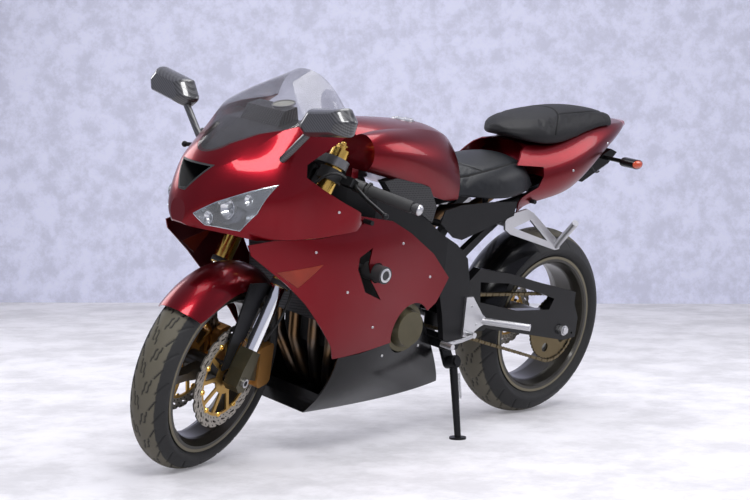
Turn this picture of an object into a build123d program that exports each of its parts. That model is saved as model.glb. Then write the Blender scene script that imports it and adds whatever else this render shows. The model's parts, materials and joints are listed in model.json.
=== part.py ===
"""Middleweight sport motorcycle, parked on its side stand with the bars turned to the left.

Everything is drawn upright and steered straight ahead, in millimetres, with X forward, Y to the rider's
left and Z up, from the ground point under the rear axle. The last section leans the machine onto its stand
and turns the steering, so the tyres and the stand's foot meet the ground.
"""
from build123d import *
import math
import os

# Wheels and steering geometry
WHEELBASE = 1390
TRAIL = 106
RAKE = 25
STEER_AT_REST = 17.17
LEAN = 9.63
FRONT_RADIUS = 294
FRONT_HALF_WIDTH = 59
FRONT_CROWN = 62
REAR_RADIUS = 315
REAR_HALF_WIDTH = 88
REAR_CROWN = 95
BEAD_RADIUS = 217
FLANGE_RADIUS = 231
FLANGE_THICKNESS = 5
RIM_WALL = 8
FRONT_RIM_HALF_WIDTH = 50
REAR_RIM_HALF_WIDTH = 74
SPOKES = 6
AXLE_RADIUS = 12.5
AXLE_BORE = 8
AXLE_BORE_DEPTH = 60
RUNNING_GAP = 0.5
SEAT_GAP = 0.3

# Brakes
FRONT_DISC_RADIUS = 150
FRONT_DISC_Y = 66
REAR_DISC_RADIUS = 110
REAR_DISC_Y = 84
DISC_THICKNESS = 5
DISC_BAND = 34
DISC_PETALS = 10

# Fork and bars, in the steering's own frame: forward of the axis, left of it, and height along it
FORK_SPACING = 102
FORK_TUBE_RADIUS = 27
FORK_LEG_RADIUS = 20.5
FORK_TUBE_TOP = 1012
FORK_TUBE_FOOT = 590
UPPER_CLAMP = 985
LOWER_CLAMP = 740
CLAMP_THICKNESS = 26
STEM_RADIUS = 15
HEAD_TUBE_RADIUS = 36
BAR_HEIGHT = 934
BAR_RADIUS = 11
GRIP_RADIUS = 17
GRIP_START = 222
BAR_END = 360
STEERING_LOCK = 25

# Drive line
CHAIN_Y = 104
CHAIN_WIDTH = 16
CHAIN_HEIGHT = 12
REAR_SPROCKET_RADIUS = 108
FRONT_SPROCKET_RADIUS = 38
FRONT_SPROCKET_X = 640
FRONT_SPROCKET_Z = 424
SPROCKET_THICKNESS = 6

# Swingarm
PIVOT_X = 566
PIVOT_Z = 424
PIVOT_RADIUS = 20
ARM_INSIDE = 117
ARM_OUTSIDE = 147

# Bodywork
PANEL_WALL = 4
SCREEN_WALL = 3

REAR_AXLE = (0, 0, REAR_RADIUS)
FRONT_AXLE = (WHEELBASE, 0, FRONT_RADIUS)
COS_RAKE = math.cos(math.radians(RAKE))
SIN_RAKE = math.sin(math.radians(RAKE))
STEER_FOOT = (WHEELBASE + TRAIL, 0, 0)
FORK_OFFSET = FRONT_RADIUS * SIN_RAKE - TRAIL * COS_RAKE
AXLE_HEIGHT = FRONT_RADIUS * COS_RAKE + TRAIL * SIN_RAKE


def side(y):
    """Plane of a side view at a distance to the left; extruding goes to the right."""
    return Plane.XZ.offset(-y)


def station(x):
    """Plane across the machine at a distance forward, with left and up as its axes."""
    return Plane(origin=(x, 0, 0), x_dir=(0, 1, 0), z_dir=(1, 0, 0))


def steering_level(height):
    """Plane square to the steering axis, with forward and left as its axes."""
    origin = (STEER_FOOT[0] - height * SIN_RAKE, 0, height * COS_RAKE)
    return Plane(origin=origin, x_dir=(COS_RAKE, 0, SIN_RAKE), z_dir=(-SIN_RAKE, 0, COS_RAKE))


def steering_side(y):
    """Side view plane in the steering's own frame; extruding goes to the right."""
    return Plane(origin=(STEER_FOOT[0], y, 0), x_dir=(COS_RAKE, 0, SIN_RAKE), z_dir=(0, -1, 0))


def steered_point(forward, left, height):
    """Point given in the steering's own frame, as a point of the whole machine."""
    x = STEER_FOOT[0] + forward * COS_RAKE - height * SIN_RAKE
    return (x, left, forward * SIN_RAKE + height * COS_RAKE)


def wheel_section(axle):
    """Plane through a wheel's axle, with left and radius as its axes."""
    return Plane(origin=axle, x_dir=(0, 1, 0), z_dir=(1, 0, 0))


def axle_line(axle):
    """Axis of a wheel."""
    return Axis(axle, (0, 1, 0))


# Stance: lean, then the small pitch and drop that put both tyres on the ground
def tyre_low_point(place, axle, radius, crown):
    """Height of a tyre's lowest point once its axle is placed."""
    middle = (place * Location(axle)).position
    tip = (place * Location((axle[0], 1, axle[2]))).position
    return middle.Z - (radius - crown) * math.sqrt(1 - (tip.Z - middle.Z) ** 2) - crown


STEER_DIRECTION = (-SIN_RAKE, 0, COS_RAKE)
steer_turn = Location(STEER_FOOT, STEER_DIRECTION, STEER_AT_REST) * Location((-STEER_FOOT[0], 0, 0))
lean = Location((0, 0, 85)) * Location((0, 0, 0), (-LEAN, 0, 0)) * Location((0, 0, -85))
rear_low = tyre_low_point(lean, REAR_AXLE, REAR_RADIUS, REAR_CROWN)
front_low = tyre_low_point(lean * steer_turn, FRONT_AXLE, FRONT_RADIUS, FRONT_CROWN)
pitch = math.degrees(math.atan((front_low - rear_low) / WHEELBASE))
stance = Location((0, 0, 0), (0, pitch, 0)) * Location((0, 0, -rear_low)) * lean
print("pitch", pitch, "rear", rear_low, "front", front_low)


def draw_outline(points):
    """Closed face through side view points, for cutting panels out of a body."""
    with BuildLine() as outline:
        Polyline(*points, close=True)
    make_face(outline.edges())


# Tyres

def draw_tyre(radius, half_width, crown, rim_half_width):
    """Closed section of a tyre on its rim: round crown, sidewalls and beads."""
    edge = radius - crown + math.sqrt(crown ** 2 - half_width ** 2)
    bead = rim_half_width - FLANGE_THICKNESS - SEAT_GAP
    seat = BEAD_RADIUS + SEAT_GAP
    lip = FLANGE_RADIUS + 2
    with BuildLine() as section:
        ThreePointArc((-half_width, edge), (0, radius), (half_width, edge))
        ThreePointArc((half_width, edge), ((half_width + bead) / 2 + 3, (edge + lip) / 2 - 2), (bead, lip))
        Polyline((bead, lip), (bead, seat), (-bead, seat), (-bead, lip))
        ThreePointArc((-bead, lip), (-(half_width + bead) / 2 - 3, (edge + lip) / 2 - 2), (-half_width, edge))
    make_face(section.edges())


with BuildPart() as front_tyre:
    with BuildSketch(wheel_section(FRONT_AXLE)):
        draw_tyre(FRONT_RADIUS, FRONT_HALF_WIDTH, FRONT_CROWN, FRONT_RIM_HALF_WIDTH)
    revolve(axis=axle_line(FRONT_AXLE))

with BuildPart() as rear_tyre:
    with BuildSketch(wheel_section(REAR_AXLE)):
        draw_tyre(REAR_RADIUS, REAR_HALF_WIDTH, REAR_CROWN, REAR_RIM_HALF_WIDTH)
    revolve(axis=axle_line(REAR_AXLE))


# Rims

def draw_rim(half_width):
    """Section of a rim: flanges, bead seats and the drop centre, all of one wall."""
    seat_edge = half_width - FLANGE_THICKNESS
    well = half_width * 0.45
    well_radius = BEAD_RADIUS - 11
    with BuildLine() as section:
        Polyline(
            (-half_width, FLANGE_RADIUS),
            (-seat_edge, FLANGE_RADIUS),
            (-seat_edge, BEAD_RADIUS),
            (-well - 8, BEAD_RADIUS),
            (-well, well_radius),
            (well, well_radius),
            (well + 8, BEAD_RADIUS),
            (seat_edge, BEAD_RADIUS),
            (seat_edge, FLANGE_RADIUS),
            (half_width, FLANGE_RADIUS),
            (half_width, BEAD_RADIUS - 3),
            (seat_edge - 2, BEAD_RADIUS - RIM_WALL),
            (well + 9, well_radius - RIM_WALL + 2),
            (well, well_radius - RIM_WALL),
            (-well, well_radius - RIM_WALL),
            (-well - 9, well_radius - RIM_WALL + 2),
            (-seat_edge + 2, BEAD_RADIUS - RIM_WALL),
            (-half_width, BEAD_RADIUS - 3),
            close=True,
        )
    make_face(section.edges())


def build_rim(axle, half_width, hub_radius, hub_left, hub_right, spoke_depth, bore):
    """Cast wheel: rim, waisted spokes and a hub with its bearing bore."""
    with BuildPart() as rim:
        with BuildSketch(wheel_section(axle)):
            draw_rim(half_width)
        revolve(axis=axle_line(axle))
        with BuildSketch(Plane(origin=(axle[0], hub_left, axle[2]), x_dir=(1, 0, 0), z_dir=(0, -1, 0))):
            Circle(hub_radius)
        extrude(amount=hub_left + hub_right)
        middle = Plane(origin=(axle[0], spoke_depth / 2, axle[2]), x_dir=(1, 0, 0), z_dir=(0, -1, 0))
        with BuildSketch(middle):
            with PolarLocations(0, SPOKES, start_angle=30):
                with BuildLine():
                    Polyline(
                        (hub_radius - 4, -21),
                        (120, -11),
                        (170, -12),
                        (BEAD_RADIUS - 17, -19),
                        (BEAD_RADIUS - 17, 19),
                        (170, 12),
                        (120, 11),
                        (hub_radius - 4, 21),
                        close=True,
                    )
                make_face()
        extrude(amount=spoke_depth)
        with BuildSketch(Plane(origin=(axle[0], hub_left, axle[2]), x_dir=(1, 0, 0), z_dir=(0, -1, 0))):
            Circle(bore)
        extrude(amount=hub_left + hub_right, mode=Mode.SUBTRACT)
    return rim


FRONT_HUB_HALF = FRONT_DISC_Y - 8
REAR_HUB_LEFT = 72
REAR_HUB_RIGHT = 76.2
front_rim = build_rim(
    FRONT_AXLE, FRONT_RIM_HALF_WIDTH, 34, FRONT_HUB_HALF, FRONT_HUB_HALF, 34, AXLE_RADIUS + RUNNING_GAP
)
rear_rim = build_rim(
    REAR_AXLE, REAR_RIM_HALF_WIDTH, 44, REAR_HUB_LEFT, REAR_HUB_RIGHT, 44, AXLE_RADIUS + RUNNING_GAP
)


# Brake discs

def build_disc(axle, y_inner, radius, carrier_radius, outward, carrier_foot):
    """Petal disc with a spoked carrier; outward is 1 on the left and -1 on the right."""
    with BuildPart() as disc:
        plane = Plane(origin=(axle[0], y_inner, axle[2]), x_dir=(1, 0, 0), z_dir=(0, outward, 0))
        with BuildSketch(plane):
            Circle(radius)
            with PolarLocations(radius + 4, DISC_PETALS * 2):
                Circle(9, mode=Mode.SUBTRACT)
            Circle(radius - DISC_BAND, mode=Mode.SUBTRACT)
            with PolarLocations(radius - DISC_BAND / 2, DISC_PETALS * 2, start_angle=9):
                SlotCenterToCenter(14, 5, rotation=70, mode=Mode.SUBTRACT)
        extrude(amount=DISC_THICKNESS)
        with BuildSketch(plane):
            Circle(radius - DISC_BAND + 6)
            Circle(radius - DISC_BAND - 7, mode=Mode.SUBTRACT)
        extrude(amount=DISC_THICKNESS)
        with BuildSketch(plane):
            Circle(carrier_radius)
            with PolarLocations((carrier_radius + radius - DISC_BAND) / 2, DISC_PETALS):
                Rectangle(radius - DISC_BAND - carrier_radius + 6, 12)
            Circle(carrier_foot - 8, mode=Mode.SUBTRACT)
        extrude(amount=DISC_THICKNESS)
        with BuildSketch(plane):
            Circle(carrier_foot)
            Circle(AXLE_RADIUS + 6, mode=Mode.SUBTRACT)
        extrude(amount=-7.5)
    return disc


left_disc = build_disc(FRONT_AXLE, FRONT_DISC_Y, FRONT_DISC_RADIUS, 52, 1, 32)
with BuildPart() as front_discs:
    add(left_disc.part)
    mirror(about=Plane.XZ)

rear_disc = build_disc(REAR_AXLE, -REAR_DISC_Y, REAR_DISC_RADIUS, 44, -1, 38)

REAR_TEETH = 44
with BuildPart() as rear_sprocket:
    sprocket_face = Plane(origin=(0, CHAIN_Y + SPROCKET_THICKNESS / 2, REAR_RADIUS), x_dir=(1, 0, 0), z_dir=(0, -1, 0))
    with BuildSketch(sprocket_face):
        Circle(REAR_SPROCKET_RADIUS - RUNNING_GAP)
        with PolarLocations(REAR_SPROCKET_RADIUS + 1, REAR_TEETH):
            Circle(4.2, mode=Mode.SUBTRACT)
        with PolarLocations(72, 5):
            Circle(15, mode=Mode.SUBTRACT)
    extrude(amount=SPROCKET_THICKNESS)
    with BuildSketch(Plane(origin=(0, CHAIN_Y - SPROCKET_THICKNESS / 2, REAR_RADIUS), x_dir=(1, 0, 0), z_dir=(0, -1, 0))):
        Circle(46)
    extrude(amount=CHAIN_Y - SPROCKET_THICKNESS / 2 - REAR_HUB_LEFT)
    with BuildSketch(Plane(origin=(0, CHAIN_Y + 5, REAR_RADIUS), x_dir=(1, 0, 0), z_dir=(0, -1, 0))):
        Circle(AXLE_RADIUS + RUNNING_GAP)
    extrude(amount=CHAIN_Y, mode=Mode.SUBTRACT)

# Axles
with BuildPart() as front_axle:
    with BuildSketch(Plane(origin=(WHEELBASE, FORK_SPACING + 30, FRONT_RADIUS), x_dir=(1, 0, 0), z_dir=(0, -1, 0))):
        Circle(AXLE_RADIUS)
    extrude(amount=2 * FORK_SPACING + 60)
    with BuildSketch(Plane(origin=(WHEELBASE, FORK_SPACING + 30, FRONT_RADIUS), x_dir=(1, 0, 0), z_dir=(0, -1, 0))):
        Circle(AXLE_BORE)
    extrude(amount=AXLE_BORE_DEPTH, mode=Mode.SUBTRACT)

ARM_NUT = 12
with BuildPart() as rear_axle:
    with BuildSketch(Plane(origin=(0, ARM_OUTSIDE + ARM_NUT, REAR_RADIUS), x_dir=(1, 0, 0), z_dir=(0, -1, 0))):
        Circle(AXLE_RADIUS)
    extrude(amount=2 * (ARM_OUTSIDE + ARM_NUT))
    for nut_y in (ARM_OUTSIDE + ARM_NUT, -ARM_OUTSIDE - SEAT_GAP):
        nut_plane = Plane(origin=(0, nut_y, REAR_RADIUS), x_dir=(1, 0, 0), z_dir=(0, -1, 0))
        with BuildSketch(nut_plane):
            RegularPolygon(17, 6)
        extrude(amount=ARM_NUT - SEAT_GAP)

# Fork, clamps and bars
with BuildPart() as fork_tubes:
    with BuildSketch(steering_level(FORK_TUBE_FOOT)):
        with Locations((FORK_OFFSET, FORK_SPACING), (FORK_OFFSET, -FORK_SPACING)):
            Circle(FORK_TUBE_RADIUS)
    extrude(amount=FORK_TUBE_TOP - FORK_TUBE_FOOT)
    with BuildSketch(steering_level(FORK_TUBE_TOP)):
        with Locations((FORK_OFFSET, FORK_SPACING), (FORK_OFFSET, -FORK_SPACING)):
            RegularPolygon(18, 6)
    extrude(amount=10)

with BuildPart() as fork_legs:
    with BuildSketch(steering_level(AXLE_HEIGHT)):
        with Locations((FORK_OFFSET, FORK_SPACING), (FORK_OFFSET, -FORK_SPACING)):
            Circle(FORK_LEG_RADIUS)
    extrude(amount=FORK_TUBE_FOOT - AXLE_HEIGHT)
    for y in (FORK_SPACING + 22, -FORK_SPACING + 22):
        with BuildSketch(steering_side(y)):
            with BuildLine():
                Polyline((8, AXLE_HEIGHT + 90), (2, AXLE_HEIGHT), (4, AXLE_HEIGHT - 22), (30, AXLE_HEIGHT - 32),
                         (54, AXLE_HEIGHT - 20), (56, AXLE_HEIGHT + 30), (50, AXLE_HEIGHT + 90), close=True)
            make_face()
        extrude(amount=44)
    with BuildSketch(Plane(origin=(WHEELBASE, 200, FRONT_RADIUS), x_dir=(1, 0, 0), z_dir=(0, -1, 0))):
        Circle(AXLE_RADIUS + SEAT_GAP)
    extrude(amount=400, mode=Mode.SUBTRACT)
    with BuildSketch(steering_level(AXLE_HEIGHT - 60)):
        Rectangle(400, 2 * (FORK_SPACING - 22))
    extrude(amount=400, mode=Mode.SUBTRACT)
    for y in (FORK_SPACING - 2, -FORK_SPACING + 18):
        with BuildSketch(steering_side(y)):
            draw_outline([(14, 410), (-24.7, 409), (-74.7, 332), (10, 318)])
        extrude(amount=16)

# Guards in front of the fork legs, which also carry the fender
GUARD_OUTLINE = [
    (139, 560), (60, 586), (16, 586), (14, 564), (44, 556), (44, 424), (59, 405), (59, 330), (88, 316), (110, 400),
]
with BuildPart() as fork_guards:
    for y in (FORK_SPACING - FORK_LEG_RADIUS - SEAT_GAP, -FORK_SPACING + FORK_LEG_RADIUS + SEAT_GAP + 4.7):
        with BuildSketch(steering_side(y)):
            draw_outline(GUARD_OUTLINE)
        extrude(amount=4.7)

with BuildPart() as steering_clamps:
    for height in (LOWER_CLAMP, UPPER_CLAMP - CLAMP_THICKNESS):
        with BuildSketch(steering_level(height)):
            with BuildLine():
                Polyline((-24, -30), (FORK_OFFSET - 30, -FORK_SPACING - 20), (FORK_OFFSET + 30, -FORK_SPACING - 20),
                         (62, -30), (62, 30), (FORK_OFFSET + 30, FORK_SPACING + 20),
                         (FORK_OFFSET - 30, FORK_SPACING + 20), (-24, 30), close=True)
            make_face()
            with Locations((FORK_OFFSET, FORK_SPACING), (FORK_OFFSET, -FORK_SPACING)):
                Circle(FORK_TUBE_RADIUS + 10)
        extrude(amount=CLAMP_THICKNESS)
    with BuildSketch(steering_level(LOWER_CLAMP - 12)):
        Circle(STEM_RADIUS + 5)
    extrude(amount=12)
    with BuildSketch(steering_level(LOWER_CLAMP)):
        Circle(STEM_RADIUS)
    extrude(amount=UPPER_CLAMP - LOWER_CLAMP + 8)
    with BuildSketch(steering_level(UPPER_CLAMP)):
        RegularPolygon(17, 6)
    extrude(amount=10)
    with BuildSketch(steering_level(FORK_TUBE_FOOT)):
        with Locations((FORK_OFFSET, FORK_SPACING), (FORK_OFFSET, -FORK_SPACING)):
            Circle(FORK_TUBE_RADIUS + 0.1)
    extrude(amount=600, mode=Mode.SUBTRACT)


def bar_plane(left):
    """Plane across the left bar, square to it, at a distance from the fork."""
    start = Vector(*steered_point(FORK_OFFSET - 4, FORK_SPACING, BAR_HEIGHT))
    end = Vector(*steered_point(-18, BAR_END, BAR_HEIGHT))
    along = (end - start).normalized()
    share = (left - FORK_SPACING) / (BAR_END - FORK_SPACING)
    return Plane(origin=start + (end - start) * share, z_dir=along)


BAR_SLANT = 1.02
with BuildPart() as left_bar:
    with BuildSketch(steering_level(BAR_HEIGHT - 17)):
        with Locations((FORK_OFFSET, FORK_SPACING)):
            Circle(FORK_TUBE_RADIUS + 9)
            Circle(FORK_TUBE_RADIUS + 0.1, mode=Mode.SUBTRACT)
    extrude(amount=34)
    with BuildSketch(bar_plane(FORK_SPACING + FORK_TUBE_RADIUS + 5)):
        Circle(BAR_RADIUS)
    extrude(amount=(BAR_END - FORK_SPACING - FORK_TUBE_RADIUS - 5) * BAR_SLANT)
    with BuildSketch(bar_plane(176)):
        Circle(19)
    extrude(amount=34)
    with BuildSketch(bar_plane(BAR_END)):
        Circle(16)
    extrude(amount=12)

with BuildPart() as clip_on_bars:
    add(left_bar.part)
    mirror(about=Plane.XZ)

with BuildPart() as left_grip:
    with BuildSketch(bar_plane(GRIP_START)):
        Circle(GRIP_RADIUS)
        Circle(BAR_RADIUS + 0.1, mode=Mode.SUBTRACT)
    extrude(amount=BAR_END - GRIP_START - 6)
    with BuildSketch(bar_plane(GRIP_START - 5)):
        Circle(GRIP_RADIUS + 6)
        Circle(BAR_RADIUS + 0.1, mode=Mode.SUBTRACT)
    extrude(amount=6)

with BuildPart() as grips:
    add(left_grip.part)
    mirror(about=Plane.XZ)

LEVER_POINTS = [(34, 188, 930), (50, 214, 917), (60, 255, 898), (86, 340, 868)]
with BuildPart() as left_lever:
    with BuildLine() as lever_path:
        FilletPolyline(*[steered_point(*point) for point in LEVER_POINTS], radius=20)
    lever_start = Vector(*steered_point(*LEVER_POINTS[0]))
    lever_aim = Vector(*steered_point(*LEVER_POINTS[1])) - lever_start
    with BuildSketch(Plane(origin=lever_start, z_dir=lever_aim)):
        Circle(6)
    sweep(path=lever_path.wires()[0])
    with Locations(steered_point(*LEVER_POINTS[-1])):
        Sphere(9)
    with BuildSketch(steering_level(BAR_HEIGHT - 16)):
        with Locations((38, 172)):
            RectangleRounded(34, 44, 8)
    extrude(amount=24)
    with BuildSketch(bar_plane(140)):
        Circle(BAR_RADIUS + 0.1)
    extrude(amount=100, mode=Mode.SUBTRACT)
    with BuildSketch(bar_plane(174)):
        Circle(19.5)
    extrude(amount=38, mode=Mode.SUBTRACT)

with BuildPart() as levers:
    add(left_lever.part)
    mirror(about=Plane.XZ)

# Front fender: a sheet over the tyre with side plates down the fork legs
FENDER_RADIUS = FRONT_RADIUS + 14
FENDER_HALF_WIDTH = 76
with BuildPart() as front_fender:
    with BuildSketch(wheel_section(FRONT_AXLE)):
        with BuildLine():
            ThreePointArc((-FENDER_HALF_WIDTH, 250), (0, FENDER_RADIUS), (FENDER_HALF_WIDTH, 250))
            Line((FENDER_HALF_WIDTH, 250), (FENDER_HALF_WIDTH - PANEL_WALL, 250))
            ThreePointArc((FENDER_HALF_WIDTH - PANEL_WALL, 250), (0, FENDER_RADIUS - PANEL_WALL),
                          (-FENDER_HALF_WIDTH + PANEL_WALL, 250))
            Line((-FENDER_HALF_WIDTH + PANEL_WALL, 250), (-FENDER_HALF_WIDTH, 250))
        make_face()
    revolve(axis=axle_line(FRONT_AXLE))
    with BuildSketch(side(200)):
        with BuildLine():
            Polyline(
                (WHEELBASE + 214, FRONT_RADIUS + 330), (WHEELBASE + 228, FRONT_RADIUS + 214),
                (WHEELBASE + 186, FRONT_RADIUS + 186), (WHEELBASE + 120, FRONT_RADIUS + 220),
                (WHEELBASE + 40, FRONT_RADIUS + 246), (WHEELBASE - 60, FRONT_RADIUS + 238),
                (WHEELBASE - 160, FRONT_RADIUS + 190), (WHEELBASE - 250, FRONT_RADIUS + 170),
                (WHEELBASE - 300, FRONT_RADIUS + 330), close=True,
            )
        make_face()
    extrude(amount=400, mode=Mode.INTERSECT)

# Front calipers, straddling their discs behind the fork
CALIPER_RADIUS = 130
with BuildPart() as left_caliper:
    caliper_angle = 180 - 33
    center_u = FORK_OFFSET + CALIPER_RADIUS * math.cos(math.radians(caliper_angle))
    center_w = AXLE_HEIGHT + CALIPER_RADIUS * math.sin(math.radians(caliper_angle))
    with BuildSketch(steering_side(FRONT_DISC_Y + 40)):
        with Locations(Location((center_u, center_w, 0), (0, 0, caliper_angle))):
            RectangleRounded(64, 128, 16)
    extrude(amount=64)
    with BuildSketch(Plane(origin=(WHEELBASE, FRONT_DISC_Y + DISC_THICKNESS + 3, FRONT_RADIUS),
                           x_dir=(1, 0, 0), z_dir=(0, -1, 0))):
        Circle(FRONT_DISC_RADIUS + 4)
    extrude(amount=DISC_THICKNESS + 6, mode=Mode.SUBTRACT)

with BuildPart() as front_calipers:
    add(left_caliper.part)
    mirror(about=Plane.XZ)

# Frame: two spars in side view, bent round the engine in plan, with the head tube between them
HEAD_BOTTOM = LOWER_CLAMP + CLAMP_THICKNESS + 4
HEAD_TOP = UPPER_CLAMP - CLAMP_THICKNESS - 4
SPAR_INSIDE = ARM_OUTSIDE + SEAT_GAP
SPAR_OUTSIDE = SPAR_INSIDE + 21
SPAR_WALL = 34
SPAR_OUTLINE = [
    (1092, 850), (1010, 838), (900, 800), (743, 723), (670, 672), (596, 636), (540, 590),
    (512, 500), (508, 340), (560, 318), (604, 340), (624, 420), (660, 520), (760, 580),
    (900, 650), (1010, 690), (1120, 716), (1150, 735),
]
STAND_PIVOT = Vector(534, 158, 263)
STAND_PIN = Vector(0.034, 0.949, 0.313)
STAND_EYE = 14
stand_side = STAND_PIN.cross(Vector(0, 0, 1)).normalized()
with BuildPart() as frame:
    with BuildSketch(side(SPAR_OUTSIDE + 10)):
        draw_outline(SPAR_OUTLINE)
    extrude(amount=2 * (SPAR_OUTSIDE + 10))
    with BuildSketch(Plane.XY.offset(200)):
        with BuildLine():
            Polyline(
                (1180, 34), (1075, 46), (1010, 92), (930, 136), (760, 154), (640, SPAR_OUTSIDE),
                (480, SPAR_OUTSIDE), (480, SPAR_INSIDE), (640, SPAR_INSIDE), (760, 154 - SPAR_WALL),
                (900, 106), (990, 60), (1060, 18), (1180, 8), close=True,
            )
        make_face()
        mirror(about=Plane.XZ)
    extrude(amount=800, mode=Mode.INTERSECT)
    with BuildSketch(steering_level(HEAD_BOTTOM)):
        Circle(HEAD_TUBE_RADIUS)
        with Locations((-34, 0)):
            Rectangle(30, 60)
    extrude(amount=HEAD_TOP - HEAD_BOTTOM)
    with BuildSketch(side(SPAR_OUTSIDE)):
        with Locations((560, 322)):
            RectangleRounded(56, 34, 8)
    extrude(amount=2 * SPAR_OUTSIDE)
    # cross tube for the shock, engine hangers, fairing stays and the side stand's lug with its pin
    with BuildSketch(side(SPAR_INSIDE + 6)):
        with Locations((548, 600)):
            Circle(14)
    extrude(amount=2 * (SPAR_INSIDE + 6))
    for y in (134, -110):
        with BuildSketch(side(y)):
            draw_outline([(880, 610.5), (920, 620.5), (920, 672), (880, 655)])
        extrude(amount=24)
    with BuildSketch(side(20)):
        draw_outline([(580, 312), (655.5, 312), (656.9, 332), (580, 332)])
    extrude(amount=40)
    with BuildSketch(side(SPAR_OUTSIDE + 90)):
        with Locations((1064, 739)):
            Circle(7)
    extrude(amount=2 * (SPAR_OUTSIDE + 90))
    with BuildSketch(Plane(origin=STAND_PIVOT - STAND_PIN * (STAND_EYE + 0.5), x_dir=stand_side, z_dir=-STAND_PIN)):
        Circle(20)
        with Locations((14, 60)):
            Circle(18)
        make_hull()
    extrude(amount=12)
    with BuildSketch(Plane(origin=STAND_PIVOT - STAND_PIN * (STAND_EYE + 4), z_dir=STAND_PIN)):
        Circle(8)
    extrude(amount=2 * STAND_EYE + 6)
    with BuildSketch(Plane(origin=STAND_PIVOT + STAND_PIN * (STAND_EYE + 0.5), z_dir=STAND_PIN)):
        Circle(14)
    extrude(amount=6)
    with BuildSketch(steering_level(HEAD_BOTTOM - 60)):
        Circle(STEM_RADIUS + SEAT_GAP)
    extrude(amount=400, mode=Mode.SUBTRACT)

# Engine as one block: crankcase, leaning cylinders and head
with BuildPart() as engine:
    with BuildSketch(side(138)):
        with BuildLine():
            Polyline(
                (655, 300), (668, 480), (730, 540), (800, 556), (840, 600), (960, 630), (1000, 590),
                (1000, 500), (985, 440), (975, 320), (930, 250), (720, 240), close=True,
            )
        make_face()
    extrude(amount=276)
    with BuildSketch(station(600)):
        draw_outline([(-138, 700), (138, 700), (138, 350), (96, 236), (-96, 236), (-138, 350)])
    extrude(amount=500, mode=Mode.INTERSECT)
    with BuildSketch(side(140)):
        with Locations((FRONT_SPROCKET_X, FRONT_SPROCKET_Z)):
            Circle(FRONT_SPROCKET_RADIUS + CHAIN_HEIGHT + 10)
    extrude(amount=140 - CHAIN_Y + CHAIN_WIDTH / 2 + 6, mode=Mode.SUBTRACT)

with BuildPart() as generator_cover:
    with BuildSketch(side(138 + SEAT_GAP).offset(0)):
        with Locations((809, 405)):
            Circle(74)
    extrude(amount=-50)
    with BuildSketch(side(188 + SEAT_GAP)):
        with Locations((809, 405)):
            Circle(60)
    extrude(amount=-28, taper=18)

with BuildPart() as clutch_cover:
    with BuildSketch(side(-138 - SEAT_GAP)):
        with Locations((800, 410)):
            Circle(80)
        with Locations((890, 380)):
            Circle(46)
    extrude(amount=40)
    with BuildSketch(side(-178 - SEAT_GAP)):
        with Locations((800, 410)):
            Circle(60)
    extrude(amount=16, taper=20)

with BuildPart() as radiator:
    with BuildSketch(side(185)):
        with BuildLine():
            Polyline((1056, 430), (1086, 426), (1119, 632), (1089, 636), close=True)
        make_face()
    extrude(amount=370)
    for y in (86, -70):
        with BuildSketch(side(y)):
            draw_outline([(992.9, 470), (1066, 470), (1066, 486), (996.9, 486)])
        extrude(amount=16)

# Exhaust headers: four pipes from the head, down in front and back under the engine
PIPE_RADIUS = 18
HEADER_Y = [-114, -42, 42, 114]
HEADER_FOOT_Y = [-63, -21, 21, 63]
with BuildPart() as exhaust_headers:
    for top_y, foot_y in zip(HEADER_Y, HEADER_FOOT_Y):
        with BuildLine() as pipe_path:
            FilletPolyline((1000 + SEAT_GAP, top_y, 545), (1036, top_y, 545), (1026, top_y, 340),
                           (975, foot_y, 208), (760, foot_y, 208), radius=[20, 60, 60])
        with BuildSketch(Plane(origin=(1000 + SEAT_GAP, top_y, 545), z_dir=(1, 0, 0))):
            Circle(PIPE_RADIUS)
        sweep(path=pipe_path.wires()[0])

with BuildPart() as exhaust_link:
    with BuildSketch(Plane(origin=(760 - SEAT_GAP, 0, 212), x_dir=(0, 1, 0), z_dir=(-1, 0, 0))):
        RectangleRounded(170, 44, 20)
    with BuildSketch(Plane(origin=(660, 0, 212), x_dir=(0, 1, 0), z_dir=(-1, 0, 0))):
        RectangleRounded(60, 50, 24)
    loft()
    with BuildLine() as link_path:
        FilletPolyline((662, 0, 212), (570, -36, 212), (508, -64, 300), (500, -64, 600), (450, -52, 692),
                       (330, -30, 700), (182, 0, 790), radius=40)
    with BuildSketch(Plane(origin=(662, 0, 212), z_dir=(-92, -36, 0))):
        Circle(18)
    sweep(path=link_path.wires()[0])
    with BuildSketch(Plane(origin=(190 + SEAT_GAP, 0, 790), x_dir=(0, 1, 0), z_dir=(-1, 0, 0.3))):
        Rectangle(200, 200)
    extrude(amount=60, mode=Mode.SUBTRACT)

with BuildPart() as silencer:
    with BuildSketch(Plane(origin=(190, 0, 790), x_dir=(0, 1, 0), z_dir=(-1, 0, 0.3))):
        RectangleRounded(110, 60, 24)
    with BuildSketch(Plane(origin=(-10, 0, 864), x_dir=(0, 1, 0), z_dir=(-1, 0, 0.3))):
        RectangleRounded(140, 76, 30)
    with BuildSketch(Plane(origin=(-215, 0, 938), x_dir=(0, 1, 0), z_dir=(-1, 0, 0.3))):
        RectangleRounded(92, 56, 24)
    loft()

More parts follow.
